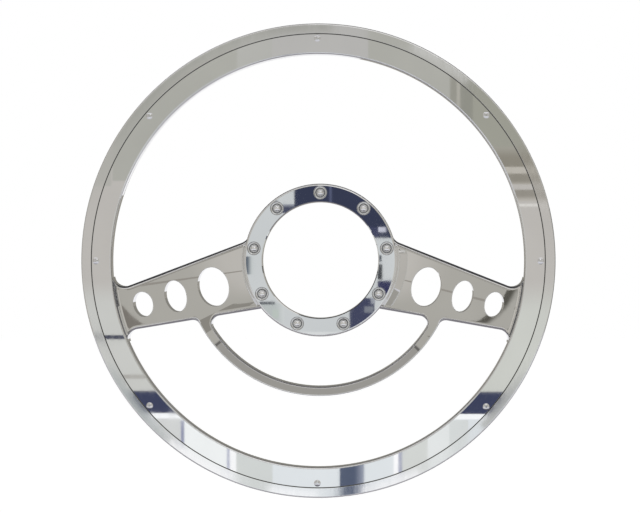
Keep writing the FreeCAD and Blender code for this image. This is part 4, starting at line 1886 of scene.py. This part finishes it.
class Studio:
    """Pale floor and surroundings, soft lamps, and the glowing cards that paint reflections onto the polished
    faces.
    """

    FLOOR_Z = -0.75
    FLOOR_HALF = 12.0
    LOW = -0.74
    WALL_Y = -2.084
    SIDE_X = 2.2
    TOP_Z = 1.8
    BACK_Y = 2.6
    CARD_STEP = 0.001
    WHITE = (1.0, 1.0, 1.0, 1.0)
    BEIGE = (168, 166, 160)
    PALE = (185, 182, 177)
    DARK = (64, 64, 66)

    def build(self) -> None:
        """Sets up floor, world, lamps and cards."""
        self.floor()
        self.world()
        self.lamps()
        for card in self.cards():
            card.build()

    def floor(self) -> None:
        """A wide pale floor under the wheel, which keeps its shadow."""
        half, z = self.FLOOR_HALF, self.FLOOR_Z
        mesh = bpy.data.meshes.new("floor")
        mesh.from_pydata([(-half, -half, z), (half, -half, z), (half, half, z), (-half, half, z)], [],
                         [(0, 1, 2, 3)])
        made = bpy.data.materials.new("pale_floor")
        made.use_nodes = True
        tree = made.node_tree
        shader = tree.nodes["Principled BSDF"]
        feed(shader, {"Base Color": (0.86, 0.86, 0.86, 1.0), "Roughness": 0.9})
        strength = add_node(tree, "ShaderNodeMath", {0: self.seen_directly(tree), 1: 0.5},
                            operation="MULTIPLY")
        glow = add_node(tree, "ShaderNodeEmission", {"Color": self.WHITE, "Strength": strength.outputs[0]})
        both = add_node(tree, "ShaderNodeAddShader", {0: shader.outputs[0], 1: glow.outputs[0]})
        feed(tree.nodes["Material Output"], {"Surface": both.outputs[0]})
        mesh.materials.append(made)
        add_object("floor", mesh)

    @staticmethod
    def seen_directly(tree: bpy.types.NodeTree) -> bpy.types.NodeSocket:
        """Value that is 1 for rays from the camera and for those that metal or glass sends on.

        Args:
            tree: The nodes that need it.

        Returns:
            Its socket.
        """
        path = add_node(tree, "ShaderNodeLightPath").outputs
        first = add_node(tree, "ShaderNodeMath", {0: path["Is Camera Ray"], 1: path["Is Glossy Ray"]},
                         operation="MAXIMUM")
        last = add_node(tree, "ShaderNodeMath", {0: first.outputs[0], 1: path["Is Transmission Ray"]},
                        operation="MAXIMUM")
        return last.outputs[0]

    def world(self) -> None:
        """White surroundings, softer for the light that they give."""
        world = bpy.data.worlds.new("surroundings")
        world.use_nodes = True
        tree = world.node_tree
        strength = add_node(tree, "ShaderNodeMapRange", {"Value": self.seen_directly(tree), "To Min": 0.55,
                                                         "To Max": 1.0})
        feed(tree.nodes["Background"], {"Color": self.WHITE, "Strength": strength.outputs["Result"]})
        bpy.context.scene.world = world

    def lamps(self) -> None:
        """Two large soft lamps, high in front and to the sides."""
        for name, place, size, power in (("key_lamp", (1.1, -1.6, 1.5), 1.2, 22.0),
                                         ("fill_lamp", (-1.5, -1.2, 1.1), 1.4, 10.0)):
            data = bpy.data.lights.new(name, "AREA")
            data.shape = "SQUARE"
            data.size = size
            data.energy = power
            lamp = add_object(name, data)
            lamp.location = place
            lamp.rotation_euler = (-Vector(place)).to_track_quat("-Z", "Y").to_euler()
            lamp.visible_camera = False
            lamp.visible_glossy = False

    def carried(self, value: float, axis: int, face_y: float) -> float:
        """Place on the wall behind the camera that is seen at a place on a flat face.

        A ray goes from the camera to the face and on to the wall. The face stands square to the axle, so the
        ray keeps its slope, and its distance from the camera's own line grows with the whole way.

        Args:
            value: Place on the face along one axis, in millimetres.
            axis: That axis, 0 or 2.
            face_y: Place of the face along the axle, in millimetres.

        Returns:
            Place on the wall along that axis, in metres.
        """
        eye = View.place
        out = face_y * MM - eye[1]
        reach = (out + face_y * MM - self.WALL_Y) / out
        return eye[axis] + (value * MM - eye[axis]) * reach

    def painted_glint_card(self, name: str, shown: PaintedGlint, nearer: int) -> Card:
        """Glowing card on the wall behind the camera that paints a glint onto a stretch of the grip ring's
        band.

        Args:
            name: Name of the card.
            shown: The stretch and what it shows.
            nearer: How many small steps the card stands in front of the wall.

        Returns:
            The card.
        """
        corners, past_edge = 24, 3.0
        angles = np.radians(np.linspace(shown.start, shown.end, corners))
        ends = ((SIZES.seam_r + SIZES.seam_gap, angles), (SIZES.wheel_r + past_edge, angles[::-1]))
        face_y, y = SIZES.rim_face_y, self.WALL_Y + self.CARD_STEP * nearer
        outline = [(self.carried(r * math.cos(a), 0, face_y), y, self.carried(r * math.sin(a), 2, face_y))
                   for r, part in ends for a in part]
        return Card(name, tuple(outline), shown.colour)

    def painted_reflection_card(self, name: str, shown: PaintedReflection, face_y: float, nearer: int) -> Card:
        """Glowing card on the wall behind the camera that paints a reflection onto a flat face.

        Args:
            name: Name of the card.
            shown: What the face shows and where.
            face_y: Place of the face along the axle, in millimetres.
            nearer: How many small steps the card stands in front of the wall.

        Returns:
            The card.
        """
        y, fade = self.WALL_Y + self.CARD_STEP * nearer, shown.fade
        left, right = [self.carried(x, 0, face_y) for x in shown.x]
        lower, upper = [self.carried(z, 2, face_y) for z in shown.z]
        if fade:
            start, end = [self.carried(place, fade.axis, face_y) for place in (fade.start, fade.end)]
            fade = Fade(fade.axis, start, end, fade.colour)
        return Card.flat(name, (max(left, -self.SIDE_X), y, max(lower, self.LOW)),
                         (min(right, self.SIDE_X), y, min(upper, self.TOP_Z)), shown.colour, fade)

    def side_cards(self) -> list[Card]:
        """Glowing cards that paint reflections of the two side walls and of what stands on them.

        Returns:
            The cards.
        """
        front, back, side, low, top = self.WALL_Y, self.BACK_Y, self.SIDE_X, self.LOW, self.TOP_Z
        dark, beige, rail = self.DARK, self.BEIGE, (146, 142, 136)
        found = []
        for name, x, inwards, hub_end in (("left", -side, 1, -0.70), ("right", side, -1, -0.85)):
            near, corner, post = (x + inwards * step for step in (0.002, 0.12, 0.04))
            found += [
                Card.flat(name + "_front", (x, front, low), (x, -0.6, top), beige,
                          Fade(1, hub_end - 0.13, hub_end, self.PALE)),
                Card.flat(name + "_rear", (x, 0.9, low), (x, back, top), dark,
                          Fade(1, 1.0, 2.2, (165, 165, 168))),
                Card.flat(name + "_gap", (near, -0.14, low), (near, -0.03, top), (70, 70, 72)),
                Card.flat(name + "_top", (near, -1.25, 1.12), (near, -0.98, 1.45), (136, 133, 127)),
                Card.flat(name + "_cornice", (corner, -1.25, top - 0.003), (post, -0.95, top - 0.003),
                          (104, 102, 100)),
            ]
        return found + [
            Card.flat("left_middle", (-side, -0.6, low), (-side, 0.9, top), (188, 184, 177),
                      Fade(1, 0.2, 0.6, dark)),
            Card.flat("right_middle_low", (side, -0.6, low), (side, 0.9, 0.5), beige,
                      Fade(1, -0.5, -0.1, dark)),
            Card.flat("right_middle_high", (side, -0.6, 0.5), (side, 0.9, top), beige),
            Card.flat("left_post", (-side + 0.002, -0.99, 0.1), (-side + 0.002, -0.958, 1.2), (84, 82, 76),
                      Fade(1, -0.97, -0.99, beige)),
            Card.flat("right_post", (side - 0.002, -1.3, 0.2), (side - 0.002, -1.17, 1.2), (120, 116, 110)),
            Card.flat("left_rail", (-side + 0.001, -0.95, 0.47), (-side + 0.001, -0.6, 0.5), rail),
            Card.flat("right_rail", (side - 0.001, -1.1, 0.28), (side - 0.001, -0.7, 0.31), rail),
        ]

    def cards(self) -> list[Card]:
        """All glowing cards that paint reflections: the room's walls, ceiling and floor, and what the flat
        faces mirror.

        Returns:
            The cards.
        """
        front, back, side, low, top = self.WALL_Y, self.BACK_Y, self.SIDE_X, self.LOW, self.TOP_Z
        dark = self.DARK
        found = [Card.flat("front_wall", (-side, front, low), (side, front, top), GREY)] + self.side_cards()
        # A white glowing card that paints a highlight on the stud domes, the screw heads and the flat faces.
        found.append(Card.flat("high_light", (-0.1, front + 0.05, 0.6), (0.6, front + 0.05, 1.2),
                               (255, 255, 255)))
        for name, start, end, colour in (
                ("soft", front, -1.4, (240, 240, 244)), ("grey", -1.4, -0.68, (152, 150, 146)),
                ("light", -0.68, -0.12, (214, 212, 210)), ("dark", -0.12, back, dark)):
            found.append(Card.flat("ceiling_" + name, (-side, start, top), (side, end, top), colour))
        for name, start, end, colour in (
                ("high", 0.5, top, dark), ("grey", 0.04, 0.5, (128, 126, 120)),
                ("brown", -0.13, 0.04, (146, 143, 136)), ("low", low, -0.13, (232, 232, 235))):
            found.append(Card.flat("back_" + name, (-side, back, start), (side, back, end), colour))
        for name, start, end, colour in (
                ("front", front, -0.8, (208, 208, 214)), ("pale", -0.8, -0.35, (160, 158, 153)),
                ("light", -0.35, -0.1, (214, 213, 218)), ("back", -0.1, back, (122, 120, 126))):
            found.append(Card.flat("ground_" + name, (-side, start, low), (side, end, low), colour))
        # A dark sheet on the ground in front of the wheel, which paints dark reflections into the domed
        # heads.
        found.append(Card.flat("ground_dark", (-0.9, -0.8, low + 0.002), (0.9, -0.35, low + 0.002),
                               (88, 88, 94)))
        past = len(REFLECTIONS_PAINTED_ON_RIM)
        for face, shown_there, face_y, step in (("rim", REFLECTIONS_PAINTED_ON_RIM, SIZES.rim_face_y, 0),
                                                ("hub", REFLECTIONS_PAINTED_ON_HUB, SIZES.hub_face_y, past)):
            found += [self.painted_reflection_card("shown_by_%s_%d" % (face, k), shown, face_y, k + step)
                      for k, shown in enumerate(shown_there, 1)]
        found += [self.painted_glint_card("shown_by_grip_%d" % k, shown, k + past)
                  for k, shown in enumerate(GLINTS_PAINTED_ON_GRIP, 1)]
        return found


def main() -> None:
    """Builds the wheel's pieces, dresses them and sets up the studio."""
    logging.basicConfig(level=logging.INFO, format="%(message)s")
    bpy.context.scene.view_settings.view_transform = "Standard"
    groups = {kind.NAME: kind() for kind in (PolishGroup, SeamLine, SeatLine)}
    materials = {finish: finish.material(groups) for finish in FINISHES}
    pieces = [(WheelBody().build(), BODY_FINISH, "wheel_body"),
              (GripRing().build(), GRIP_FINISH, "grip_ring")]
    pieces += [(HubStud(tuple(place), k).build(), STUD_FINISH, "hub_stud_%d" % k)
               for k, place in enumerate(stations(SIZES.stud_circle_r, SIZES.stud_count), 1)]
    pieces += [(RimScrew(tuple(place), k).build(), SCREW_FINISH, "rim_screw_%d" % k)
               for k, place in enumerate(rim_screw_places(), 1)]
    for piece, finish, node in pieces:
        mount_piece(piece, materials[finish], node)
    Studio().build()
    View().build()


if __name__ == "__main__":
    main()
